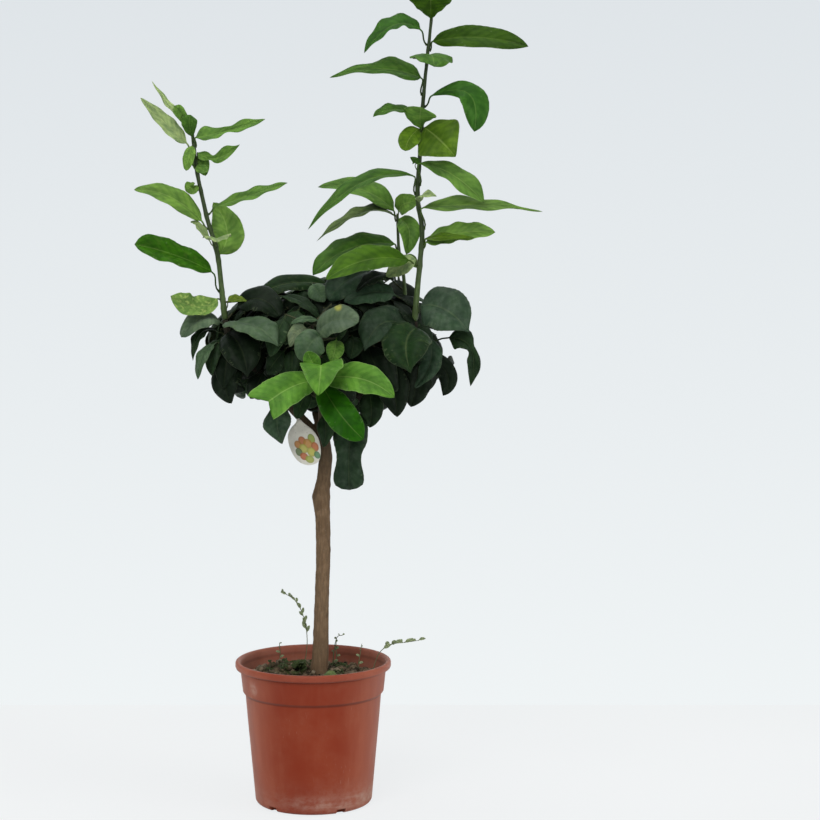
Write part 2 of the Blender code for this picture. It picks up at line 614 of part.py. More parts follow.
def stand_on(tree, foot):
    """The point just above a surface that lies under a stem's foot."""
    above = Vector(foot) + Vector((0, 0, SOIL_MOUND * 4))
    hit = tree.ray_cast(above, Vector((0, 0, -1)))[0]
    return hit + Vector((0, 0, GAP * 2))


def build_weed(soil_tree, name, points, count, length, width):
    """A small weed: a thin stem with leaves set round it by the golden angle."""
    points = [stand_on(soil_tree, points[0]), *points[1:]]
    radii = [WEED_STEM_RADIUS * (1 - 0.4 * index / len(points)) for index in range(len(points))]
    line = list(zip(points, radii))
    bm = bmesh.new()
    add_tube(bm, line, 6, PATH_STEPS)
    weed = add_object(name, bm, "weed")
    path = smooth_path(line, 8)
    bm = bmesh.new()
    for index in range(count):
        place = 0.35 + 0.62 * index / max(count - 1, 1)
        centre = path[int(place * (len(path) - 1))][0]
        turn = index * GOLDEN_ANGLE
        outward = Vector((math.cos(turn), math.sin(turn), 0.25))
        tip = centre + outward * length
        middle = centre.lerp(tip, 0.5) + Vector((0, 0, length * 0.15))
        add_leaf(bm, centre, outward.normalized(), middle, tip, width, Vector((0, -0.2, 1)),
                 10, 0, WEED_STATIONS)
    add_boolean(weed, add_object(name + "_leaves", bm, "weed"), "UNION")
    weed.modifiers[-1].use_self = True


def main():
    clear_scene()
    build_pot()
    soil = build_soil()
    build_trunk()
    build_shoots()
    build_leaves()
    build_label()
    soil_tree = BVHTree.FromObject(soil, bpy.context.evaluated_depsgraph_get())
    for weed in WEEDS:
        build_weed(soil_tree, *weed)


main()
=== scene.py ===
import math
import random
from collections import namedtuple

import bmesh
import bpy
from bpy.props import (FloatProperty, FloatVectorProperty, IntProperty,
                       PointerProperty)
from mathutils import Matrix, Vector, noise
from mathutils.bvhtree import BVHTree


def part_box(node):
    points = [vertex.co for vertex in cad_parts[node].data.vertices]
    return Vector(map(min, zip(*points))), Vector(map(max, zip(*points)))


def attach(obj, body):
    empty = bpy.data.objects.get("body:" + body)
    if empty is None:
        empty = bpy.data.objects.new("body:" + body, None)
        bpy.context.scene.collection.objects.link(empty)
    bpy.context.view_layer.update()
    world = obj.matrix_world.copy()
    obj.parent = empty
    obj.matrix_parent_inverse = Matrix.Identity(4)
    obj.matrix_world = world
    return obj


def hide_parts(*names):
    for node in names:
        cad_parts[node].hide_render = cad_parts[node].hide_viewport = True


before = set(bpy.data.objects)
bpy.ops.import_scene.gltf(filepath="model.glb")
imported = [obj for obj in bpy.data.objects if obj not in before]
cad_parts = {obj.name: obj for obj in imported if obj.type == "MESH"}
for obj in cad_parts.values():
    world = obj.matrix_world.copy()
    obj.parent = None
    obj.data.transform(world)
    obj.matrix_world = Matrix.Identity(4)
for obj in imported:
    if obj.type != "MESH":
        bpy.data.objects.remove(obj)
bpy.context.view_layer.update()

bl_info = {
    "name": "Potted bergamot tree",
    "version": (1, 0, 0),
    "blender": (4, 5, 0),
    "location": "3D View > Sidebar > Bergamot",
    "description": "Dresses a young bergamot tree: leaves, bark, pot, soil, label and weeds",
    "category": "Object",
}

BODY = "root"
MERGE = 0.00001
NOISE_SEED = 1

# Pot ----------------------------------------------------------------------

POT_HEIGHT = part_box("pot")[1].z
LIP_RADIUS = 0.1067
LIP_DEPTH = 0.010
COLLAR_TOP_RADIUS = 0.1002
COLLAR_FOOT_RADIUS = 0.0967
COLLAR_FOOT_Z = 0.1555
STEP_DEPTH = 0.0028
BODY_TOP_RADIUS = 0.0935
BODY_FOOT_RADIUS = 0.0805
FOOT_ROUND = 0.007
WALL = 0.0017
POT_BASE = 0.0045
NOTCH_ANGLES = (12, 84, 156, 228, 300)
NOTCH_WIDTH = 0.013
NOTCH_HEIGHT = 0.0068
NOTCH_INNER_RADIUS = 0.070
SHARP_ANGLE = 50
SMEAR_TURN, SMEAR_Z = -0.93, 0.170      # a pale smear on the collar

SOIL_Z = 0.1765
SOIL_HEAP = 0.010
SOIL_HEAP_PLACE = (-0.042, 0.012)
SOIL_HEAP_REACH = 0.028
SOIL_MOUND = 0.0030
SOIL_RIM_DROP = 0.0065      # the soil has shrunk away from the wall
SOIL_RINGS = 46
SOIL_SEGMENTS = 150
CRUMB_REACH, CRUMB_CLEAR = 0.090, 0.0135    # how far out they lie, how far off the trunk
CRUMB_SIZES = (0.0012, 0.0018, 0.0026, 0.0036, 0.0050, 0.0066)
CRUMB_TONES = (0.0, 0.0, 0.1, 0.3, 0.6, 0.9)
FIBRES = 70
FIBRE_REACH, FIBRE_CLEAR = 0.088, 0.016
FIBRE_END_REACH = 0.091
SPROUTS = 30

# Stems: centre line and radius (x, y, z, radius), from the foot up ---------

TRUNK_X = 0.008
PATH_STEPS = 3
TRUNK_LINE = (
    (TRUNK_X, 0, 0.12, 0.0105), (TRUNK_X, 0, 0.178, 0.0115), (TRUNK_X, 0, 0.186, 0.0118),
    (0.01, 0, 0.208, 0.0113), (0.011, 0, 0.246, 0.0104), (0.012, 0, 0.283, 0.0098),
    (0.014, 0, 0.33, 0.0098), (0.014, 0, 0.39, 0.01), (0.012, 0, 0.424, 0.0122),
    (0.015, 0, 0.447, 0.0096), (0.018, 0, 0.48, 0.009), (0.013, 0, 0.509, 0.0098),
    (0.012, 0, 0.517, 0.007),
)
LIMB_LINES = {
    "left_limb": ((0.012, 0, 0.504, 0.0066), (-0.029, 0, 0.547, 0.006),
                  (-0.075, -0.02, 0.6, 0.0055), (-0.108, -0.027, 0.645, 0.005),
                  (-0.1135, -0.0295, 0.658, 0.0047), (-0.115, -0.03, 0.668, 0.0045)),
    "right_limb": ((0.014, 0, 0.504, 0.0066), (0.06, -0.02, 0.56, 0.006),
                   (0.11, -0.045, 0.615, 0.0055), (0.135, -0.0565, 0.649, 0.0048),
                   (0.1395, -0.059, 0.668, 0.0045)),
    "back_limb": ((0.013, 0.002, 0.506, 0.006), (0.018, 0.04, 0.555, 0.0052),
                  (0.024, 0.085, 0.61, 0.0045), (0.02, 0.115, 0.665, 0.0034)),
    "front_limb": ((0.013, -0.002, 0.506, 0.005), (0.014, -0.05, 0.545, 0.0043),
                   (0.015, -0.105, 0.585, 0.0037), (0.01, -0.105, 0.625, 0.0031),
                   (0.004, -0.092, 0.665, 0.0026)),
    "centre_limb": ((0.012, 0, 0.51, 0.0056), (0, 0.02, 0.57, 0.0048), (0.018, 0.03, 0.64, 0.004),
                    (0.028, 0.022, 0.7, 0.0032), (0.028, 0.018, 0.722, 0.0028)),
}
SHOOT_LINES = {
    "left_shoot": ((-0.1151, -0.03, 0.6684, 0.0042), (-0.119, -0.03, 0.705, 0.0035),
                   (-0.125, -0.03, 0.758, 0.0032), (-0.139, -0.025, 0.806, 0.0029),
                   (-0.152, -0.02, 0.867, 0.0025), (-0.157, -0.02, 0.912, 0.002),
                   (-0.158, -0.02, 0.922, 0.0016)),
    "right_shoot": ((0.1396, -0.059, 0.6684, 0.0043), (0.144, -0.06, 0.724, 0.0036),
                    (0.149, -0.06, 0.786, 0.0032), (0.143, -0.06, 0.834, 0.003),
                    (0.147, -0.06, 0.9, 0.0027), (0.152, -0.06, 0.98, 0.0024),
                    (0.16, -0.06, 1.055, 0.002), (0.164, -0.06, 1.108, 0.0016)),
    "centre_shoot": ((0.1244, -0.044, 0.6336, 0.0026), (0.126, -0.025, 0.708, 0.0025),
                     (0.118, -0.02, 0.764, 0.0021), (0.116, -0.02, 0.81, 0.0016)),
}
STEMS = {**LIMB_LINES, **SHOOT_LINES}
KNOTS = (   # pruned twigs on the trunk: place, radius, height of the bump
    ((0.02, -0.007, 0.262), 0.005, 0.0014), ((0.004, -0.008, 0.318), 0.0045, 0.0012),
    ((0.022, -0.004, 0.352), 0.0048, 0.0016), ((0.005, -0.007, 0.398), 0.0045, 0.0012),
    ((0.003, -0.007, 0.424), 0.007, 0.002), ((0.024, -0.003, 0.44), 0.0046, 0.0014),
    ((0.009, 0.01, 0.372), 0.005, 0.0015), ((0.014, 0.01, 0.29), 0.005, 0.0014),
    ((0.001, 0.006, 0.236), 0.0048, 0.0012),
)

# Leaves by name: stem, height of the joint, middle of the midrib, tip, width,
# direction the upper side faces, fold in degrees, tone, then, if not plain:
# shape, lift, twist in degrees. A lift is how far the stalk climbs its stem
# and stands off it before the blade, or the point where a long stalk ends.

LEAVES = {
    "left_shoot_leaf": (
        ("left_shoot", 0.706, (-0.178, -0.05, 0.755), (-0.231, -0.07, 0.7705), 0.039,
         (0.1, -0.8, 0.5), 20, "shiny", "spatula", (-0.132, -0.04, 0.733)),
        ("left_shoot", 0.79, (-0.187, -0.045, 0.833), (-0.233, -0.05, 0.842), 0.034,
         (-0.1, -0.7, 0.65), 12, "celery", "oval", (0.013, 0.006)),
        ("left_shoot", 0.748, (-0.114, 0, 0.788), (-0.134, 0.02, 0.824), 0.045, (0.2, -1, 0.1), 8,
         "celery"),
        ("left_shoot", 0.808, (-0.078, -0.03, 0.835), (-0.03, -0.03, 0.851), 0.027,
         (0, -0.55, 0.85), 10, "spring", "oval", (0.008, 0.012)),
        ("left_shoot", 0.882, (-0.124, -0.03, 0.884), (-0.092, -0.05, 0.902), 0.026,
         (0.1, -0.7, 0.7), 12, "spring", "winged", None, 10),
        ("left_shoot", 0.898, (-0.113, -0.01, 0.92), (-0.061, 0, 0.936), 0.03, (0, -0.6, 0.8), 14,
         "spring", "waisted", (0.013, 0.002), 20),
        ("left_shoot", 0.893, (-0.191, -0.04, 0.929), (-0.222, -0.06, 0.963), 0.025,
         (0.4, -0.8, 0.4), 12, "silver", "oval", (0.012, 0.008)),
        ("left_shoot", 0.916, (-0.189, -0.025, 0.954), (-0.21, -0.03, 0.986), 0.013,
         (0.5, -0.6, 0.5), 20, "silver", "slender", (0.024, 0.011)),
        ("left_shoot", 0.696, (-0.153, -0.06, 0.688), (-0.183, -0.08, 0.703), 0.034,
         (0, -0.8, 0.5), 10, "mottled", "ragged", (0.001, 0.005)),
        ("left_shoot", 0.862, (-0.16, 0.015, 0.884), (-0.168, 0.04, 0.872), 0.024, (0, -0.2, 1),
         14, "spring"),
    ),
    "right_shoot_leaf": (
        ("right_shoot", 1.092, (0.15, -0.062, 1.124), (0.136, -0.07, 1.151), 0.026,
         (0.3, -0.6, 0.7), 18, "spring"),
        ("right_shoot", 1.062, (0.16, -0.082, 1.084), (0.16, -0.1, 1.106), 0.058, (0, -0.95, 0.25),
         14, "moss", "fan", (0.004, 0.002)),
        ("right_shoot", 1.031, (0.11, -0.07, 1.056), (0.073, -0.08, 1.02), 0.034,
         (-0.3, -0.6, 0.75), 16, "jade", "oval", (0.146, -0.064, 1.052)),
        ("right_shoot", 1.024, (0.222, -0.08, 1.0405), (0.287, -0.095, 1.028), 0.033,
         (0, -0.9, 0.45), 10, "fern", "full", (0.013, 0.003)),
        ("right_shoot", 0.966, (0.09, -0.08, 1), (0.028, -0.09, 0.988), 0.045, (-0.1, -0.62, 0.75),
         12, "summer", "swept", (0.147, -0.064, 0.989)),
        ("right_shoot", 0.951, (0.21, -0.08, 0.967), (0.217, -0.09, 0.918), 0.04, (0.3, -0.8, 0.5),
         10, "jade", "club", (0.163, -0.07, 0.966)),
        ("right_shoot", 0.926, (0.111, -0.09, 0.947), (0.085, -0.1, 0.937), 0.026,
         (0, -0.55, 0.85), 12, "summer", "oval", (0.014, 0.004)),
        ("right_shoot", 0.916, (0.1715, -0.085, 0.908), (0.1925, -0.1, 0.8855), 0.068,
         (0.05, -1, 0.1), 5, "olive", "angular"),
        ("right_shoot", 0.848, (0.189, -0.085, 0.862), (0.23, -0.1, 0.826), 0.034,
         (0.1, -0.75, 0.65), 10, "spring", "broad_end", (0.147, -0.07, 0.877)),
        ("right_shoot", 0.836, (0.066, -0.09, 0.85), (0, -0.12, 0.791), 0.03, (-0.1, -0.5, 0.85),
         14, "summer", "slender", (0.136, -0.07, 0.861)),
        ("right_shoot", 0.79, (0.225, -0.08, 0.822), (0.307, -0.09, 0.814), 0.036,
         (0, -0.52, 0.85), 10, "celery", "tailed", (0.151, -0.07, 0.819)),
        ("right_shoot", 0.766, (0.197, -0.08, 0.786), (0.245, -0.09, 0.787), 0.031, (0, -0.8, 0.6),
         8, "celery", "full"),
        ("right_shoot", 0.742, (0.075, -0.1, 0.751), (0.023, -0.12, 0.726), 0.05,
         (-0.1, -0.7, 0.7), 10, "moss", "oval", (0.006, 0.014)),
        ("right_shoot", 0.894, (0.158, -0.02, 0.916), (0.174, 0.018, 0.902), 0.03, (0, 0.35, 1),
         14, "summer"),
    ),
    "centre_shoot_leaf": (
        ("centre_shoot", 0.8, (0.068, -0.04, 0.811), (0.009, -0.06, 0.774), 0.032,
         (0.1, -0.25, 0.95), 16, "sage", "slender"),
        ("centre_shoot", 0.762, (0.053, -0.04, 0.764), (0.004, -0.06, 0.729), 0.046,
         (-0.2, -0.55, 0.8), 12, "summer", "full"),
    ),
    "front_leaf": (
        ("front_limb", 0.602, (0.018, -0.16, 0.616), (0.015, -0.185, 0.581), 0.058,
         (0, -0.75, 0.65), 8, "bright", "wavy"),
        ("front_limb", 0.594, (-0.025, -0.14, 0.586), (-0.06, -0.16, 0.562), 0.054,
         (-0.2, -0.9, 0.4), 6, "bright", "lobed"),
        ("front_limb", 0.596, (0.072, -0.15, 0.599), (0.113, -0.17, 0.577), 0.046,
         (0.15, -0.85, 0.5), 6, "bright"),
        ("front_limb", 0.588, (0.043, -0.15, 0.553), (0.073, -0.155, 0.521), 0.042,
         (0.1, -0.95, 0.3), 6, "glossy", "full"),
    ),
    "low_leaf": (
        ("left_limb", 0.56, (-0.045, -0.05, 0.531), (-0.038, -0.055, 0.503), 0.04,
         (-0.2, -0.95, 0.2), 6, "misty", "angular"),
        ("front_limb", 0.548, (0.021, -0.07, 0.526), (0.018, -0.075, 0.501), 0.026, (-0.2, -1, 0),
         10, "deep"),
        ("right_limb", 0.552, (0.052, -0.075, 0.495), (0.052, -0.07, 0.443), 0.047, (0, -1, 0.1),
         6, "dull", "blunt"),
    ),
    "crown_leaf": (
        ("left_limb", 0.664, (-0.146, -0.054, 0.671), (-0.171, -0.064, 0.647), 0.042,
         (-0.2, -0.6, 0.8), 8, "powder", "round"),
        ("left_limb", 0.62, (-0.113, -0.052, 0.588), (-0.105, -0.058, 0.558), 0.044,
         (-0.2, -0.95, 0.15), 10, "shade", "oval", None, 15),
        ("left_limb", 0.645, (-0.09, -0.08, 0.632), (-0.081, -0.1, 0.597), 0.052,
         (0.1, -0.95, 0.3), 8, "shade", "drip", (0.008, 0.004)),
        ("left_limb", 0.66, (-0.07, -0.09, 0.663), (-0.039, -0.11, 0.638), 0.056,
         (0.2, -0.55, 0.85), 12, "dusty", "drip"),
        ("centre_limb", 0.712, (-0.032, -0.002, 0.715), (-0.069, -0.012, 0.7), 0.038,
         (-0.1, -0.6, 0.8), 12, "forest", "full"),
        ("front_limb", 0.652, (0.036, -0.12, 0.674), (0.067, -0.13, 0.673), 0.05,
         (0.05, -0.75, 0.65), 10, "powder", "round"),
        ("right_limb", 0.658, (0.096, -0.092, 0.667), (0.073, -0.11, 0.632), 0.058,
         (-0.2, -0.8, 0.55), 10, "dull", "drip"),
        ("right_limb", 0.648, (0.128, -0.12, 0.643), (0.134, -0.14, 0.606), 0.066,
         (-0.1, -0.95, 0.3), 8, "forest", "drip", (0.019, 0.014)),
        ("right_shoot", 0.68, (0.181, -0.08, 0.684), (0.211, -0.09, 0.655), 0.07,
         (0.15, -0.85, 0.5), 8, "misty", "drip", (0.01, 0.003)),
        ("right_limb", 0.628, (0.179, -0.04, 0.602), (0.177, -0.045, 0.567), 0.028, (0, -1, 0), 10,
         "shade", "full"),
        ("right_limb", 0.64, (0.214, -0.08, 0.632), (0.213, -0.08, 0.583), 0.034, (0.3, -0.9, 0.3),
         14, "deep", "waisted", (0.185, -0.07, 0.647)),
    ),
    "back_leaf": (
        ("back_limb", 0.64, (0.018, 0.165, 0.665), (0.008, 0.2, 0.63), 0.05, (0, 0.6, 0.8), 12,
         "deep"),
        ("back_limb", 0.615, (-0.035, 0.13, 0.635), (-0.085, 0.16, 0.6), 0.048, (-0.2, 0.5, 0.8),
         12, "deep"),
        ("back_limb", 0.628, (0.085, 0.13, 0.645), (0.13, 0.155, 0.612), 0.05, (0.2, 0.5, 0.8), 12,
         "deep"),
    ),
}
SHOOT_LIFT = (0.008, 0.003)
LIMB_LIFT = (0.002, 0.004)

# Young side leaves of the shoots, as above

SHOOT_EXTRAS = (
    ("left_shoot", 0.768, (-0.15, -0.035, 0.794), (-0.159, -0.04, 0.798), 0.014, (0, -0.6, 0.8),
     12, "silver"),
    ("left_shoot", 0.766, (-0.122, -0.06, 0.778), (-0.119, -0.09, 0.774), 0.038, (0, -0.35, 0.95),
     10, "silver", "wavy"),
    ("left_shoot", 0.84, (-0.158, -0.034, 0.844), (-0.164, -0.038, 0.853), 0.017, (-0.3, -1, 0.2),
     10, "celery", "round"),
    ("left_shoot", 0.866, (-0.143, -0.035, 0.868), (-0.135, -0.045, 0.866), 0.016, (0, -0.8, 0.5),
     10, "spring"),
    ("left_shoot", 0.892, (-0.161, -0.033, 0.885), (-0.165, -0.035, 0.867), 0.017, (-0.2, -1, 0.2),
     10, "celery", "round"),
    ("left_shoot", 0.874, (-0.146, 0, 0.875), (-0.141, 0.01, 0.86), 0.024, (0.1, -1, 0.2), 10,
     "spring"),
    ("left_shoot", 0.905, (-0.16, -0.035, 0.929), (-0.158, -0.036, 0.941), 0.022, (0, -1, 0.2), 10,
     "summer", "broad_end"),
    ("left_shoot", 0.915, (-0.171, -0.036, 0.942), (-0.18, -0.04, 0.952), 0.016, (0, -1, 0.3), 10,
     "spring", "broad_end"),
    ("left_shoot", 0.684, (-0.101, -0.032, 0.696), (-0.084, -0.04, 0.693), 0.015, (0, -0.7, 0.7),
     12, "lime", "slender"),
    ("right_shoot", 1.01, (0.162, -0.09, 1.016), (0.164, -0.122, 1.001), 0.057, (0, -0.55, 0.85),
     -8, "summer", "wavy", None, -16),
    ("right_shoot", 0.915, (0.146, -0.085, 0.936), (0.148, -0.098, 0.95), 0.044, (0, -0.95, 0.3),
     4, "spring", "fan"),
    ("right_shoot", 0.77, (0.178, -0.085, 0.781), (0.217, -0.09, 0.78), 0.014, (0, -0.8, 0.6), 8,
     "olive", "slender"),
    ("right_shoot", 0.868, (0.14, -0.065, 0.88), (0.133, -0.07, 0.885), 0.011, (0, -1, 0.3), 4,
     "summer"),
    ("right_shoot", 0.914, (0.132, -0.08, 0.909), (0.127, -0.085, 0.893), 0.028, (-0.1, -1, 0.1),
     8, "olive", "round"),
    ("right_shoot", 1.096, (0.174, -0.063, 1.115), (0.184, -0.07, 1.133), 0.028, (0.2, -0.7, 0.6),
     14, "spring"),
    ("centre_shoot", 0.806, (0.067, -0.015, 0.842), (0.009, -0.005, 0.845), 0.042, (0, -0.55, 0.8),
     12, "spring"),
    ("centre_shoot", 0.806, (0.125, -0.045, 0.823), (0.145, -0.05, 0.828), 0.028, (0, -1, 0.3), 10,
     "celery", "round"),
    ("centre_shoot", 0.795, (0.132, -0.045, 0.787), (0.128, -0.05, 0.756), 0.03, (0.2, -1, 0.1),
     12, "spring"),
    ("right_shoot", 0.818, (0.151, -0.09, 0.836), (0.168, -0.1, 0.834), 0.018, (0, -0.7, 0.7), 12,
     "silver"),
    ("centre_shoot", 0.738, (0.134, -0.03, 0.747), (0.142, -0.04, 0.738), 0.018, (0, -1, 0.3), 10,
     "spring"),
    ("right_shoot", 0.742, (0.12, -0.075, 0.74), (0.101, -0.08, 0.727), 0.028, (-0.2, -0.9, 0.4),
     8, "silver"),
)

# Further leaves of the crown, each on a spur: foot, middle, tip, then as above

CROWN_EXTRAS = (
    ((-0.119, -0.03, 0.65), (-0.146, -0.05, 0.652), (-0.156, -0.06, 0.615), 0.022,
     (-0.3, -0.5, 0.8), 14, "deep", "slender"),
    ((-0.118, -0.045, 0.645), (-0.129, -0.06, 0.626), (-0.131, -0.065, 0.596), 0.024,
     (-0.3, -1, 0), 12, "deep"),
    ((-0.124, -0.055, 0.639), (-0.141, -0.075, 0.624), (-0.148, -0.08, 0.592), 0.02,
     (-0.5, -0.8, 0.2), 14, "dusty"),
    ((-0.111, -0.03, 0.644), (-0.112, -0.045, 0.615), (-0.116, -0.05, 0.578), 0.036,
     (0.1, -1, 0.1), 8, "shade"),
    ((-0.105, -0.03, 0.677), (-0.071, -0.05, 0.697), (-0.039, -0.062, 0.673), 0.05,
     (0.1, -0.65, 0.75), 10, "shade", "round"),
    ((-0.044, -0.03, 0.7), (-0.013, -0.06, 0.692), (0.014, -0.075, 0.67), 0.03, (0.2, -0.3, 0.9),
     16, "deep"),
    ((0, 0, 0.716), (0.009, -0.02, 0.705), (0.019, -0.03, 0.692), 0.028, (0.1, -1, 0.2), 8,
     "dusty"),
    ((-0.021, 0, 0.709), (-0.017, -0.01, 0.699), (-0.015, -0.015, 0.688), 0.026, (0, -1, 0.2), 8,
     "deep"),
    ((0.082, -0.01, 0.732), (0.05, -0.04, 0.722), (0.024, -0.05, 0.695), 0.052, (-0.2, -0.7, 0.7),
     8, "slate", "full"),
    ((0.114, -0.02, 0.716), (0.09, -0.04, 0.727), (0.061, -0.05, 0.707), 0.034, (-0.1, -0.4, 0.9),
     12, "shade"),
    ((0.117, -0.05, 0.7), (0.087, -0.07, 0.707), (0.045, -0.08, 0.694), 0.04, (-0.1, -0.65, 0.75),
     8, "slate", "full"),
    ((0.017, -0.09, 0.669), (-0.004, -0.1, 0.674), (-0.023, -0.105, 0.668), 0.015, (0, -0.5, 0.85),
     10, "dusty"),
    ((0, -0.1, 0.661), (-0.015, -0.11, 0.658), (-0.024, -0.115, 0.638), 0.022, (-0.3, -0.9, 0.3),
     10, "ash"),
    ((0.02, -0.112, 0.654), (0.004, -0.12, 0.644), (-0.007, -0.124, 0.62), 0.042, (-0.1, -1, 0.2),
     8, "dusty", "round"),
    ((0.016, -0.142, 0.606), (0.006, -0.152, 0.621), (0, -0.157, 0.635), 0.022, (-0.1, -0.9, 0.4),
     8, "bright", "round"),
    ((0, -0.06, 0.578), (-0.01, -0.07, 0.562), (-0.017, -0.074, 0.539), 0.022, (-0.1, -0.9, 0.4),
     8, "deep", "round"),
    ((0.036, -0.1, 0.649), (0.035, -0.12, 0.635), (0.03, -0.125, 0.619), 0.024, (0, -1, 0.2), 8,
     "spring"),
    ((0.056, -0.08, 0.651), (0.058, -0.09, 0.638), (0.054, -0.095, 0.621), 0.028, (0, -1, 0.2), 8,
     "deep"),
    ((0.153, -0.06, 0.652), (0.161, -0.075, 0.618), (0.139, -0.08, 0.581), 0.03, (0.3, -0.9, 0.2),
     12, "slate", "wavy", None, 35),
    ((0.09, -0.05, 0.622), (0.109, -0.065, 0.584), (0.116, -0.07, 0.541), 0.046, (0.1, -1, 0.1), 8,
     "shade"),
    ((0.144, -0.04, 0.615), (0.141, -0.05, 0.583), (0.134, -0.055, 0.553), 0.042, (0.1, -1, 0.1),
     8, "shade"),
    ((0.077, -0.035, 0.581), (0.081, -0.045, 0.551), (0.079, -0.045, 0.524), 0.034, (0, -1, 0), 8,
     "deep"),
    ((0.077, -0.05, 0.64), (0.088, -0.07, 0.609), (0.117, -0.08, 0.577), 0.056, (0, -1, 0.3), 8,
     "shade"),
    ((-0.062, -0.05, 0.602), (-0.07, -0.07, 0.584), (-0.079, -0.075, 0.566), 0.03, (-0.1, -1, 0.1),
     8, "shade"),
    ((-0.024, -0.07, 0.633), (-0.023, -0.08, 0.616), (-0.024, -0.085, 0.593), 0.022,
     (-0.2, -1, 0.1), 8, "deep"),
)

# Tones: colour, share of dust, share of pale mottling, strength of the veins
# and the material slot

TONES = {
    # painted shade: "shade" is a near-black leaf colour, given to leaves deep in the crown in
    # place of its shade
    "shade": ((0.006, 0.013, 0.006), 0.08, 0, 0.12, "leaf_dark"),
    "deep": ((0.011, 0.03, 0.009), 0.16, 0, 0.25, "leaf_dark"),
    "slate": ((0.023, 0.055, 0.028), 0.42, 0, 0.2, "leaf_dusty"),
    "dull": ((0.016, 0.038, 0.018), 0.32, 0, 0.2, "leaf_dark"),
    "misty": ((0.034, 0.07, 0.038), 0.45, 0, 0.25, "leaf_dusty"),
    "forest": ((0.011, 0.032, 0.009), 0.08, 0.06, 0.35, "leaf_dark"),
    "dusty": ((0.052, 0.1, 0.046), 0.62, 0, 0.22, "leaf_dusty"),
    "powder": ((0.092, 0.142, 0.08), 0.7, 0, 0.25, "leaf_dusty"),
    "ash": ((0.13, 0.17, 0.095), 0.55, 0, 0.35, "leaf_dusty"),
    "glossy": ((0.02, 0.108, 0.003), 0, 0, 0.6, "leaf_glossy"),
    "shiny": ((0.028, 0.108, 0.004), 0, 0.1, 0.5, "leaf_green"),
    "fern": ((0.03, 0.078, 0.003), 0, 0, 0.35, "leaf_green"),
    "jade": ((0.032, 0.108, 0.012), 0.03, 0, 0.5, "leaf_green"),
    "moss": ((0.048, 0.115, 0.008), 0, 0, 0.45, "leaf_green"),
    "olive": ((0.084, 0.168, 0.012), 0, 0.1, 0.8, "leaf_green"),
    "summer": ((0.05, 0.13, 0.017), 0.05, 0.1, 0.55, "leaf_green"),
    "sage": ((0.085, 0.135, 0.045), 0.15, 0.1, 0.4, "leaf_green"),
    "spring": ((0.09, 0.195, 0.032), 0.05, 0.1, 0.6, "leaf_fresh"),
    "celery": ((0.13, 0.255, 0.045), 0.05, 0.1, 0.6, "leaf_fresh"),
    "bright": ((0.09, 0.228, 0.03), 0, 0.1, 0.85, "leaf_fresh"),
    "silver": ((0.265, 0.365, 0.155), 0.15, 0.3, 0.6, "leaf_pale"),
    "mottled": ((0.15, 0.27, 0.065), 0, 1, 0.45, "leaf_lime"),
    "lime": ((0.14, 0.215, 0.028), 0, 0.2, 0.45, "leaf_lime"),
    "sprout": ((0.3, 0.36, 0.21), 0.2, 0.2, 0.2, "weed"),
    "sprig": ((0.15, 0.205, 0.075), 0.1, 0.2, 0.4, "weed"),
    "moss_green": ((0.042, 0.062, 0.018), 0.35, 0.2, 0.1, "weed"),
}
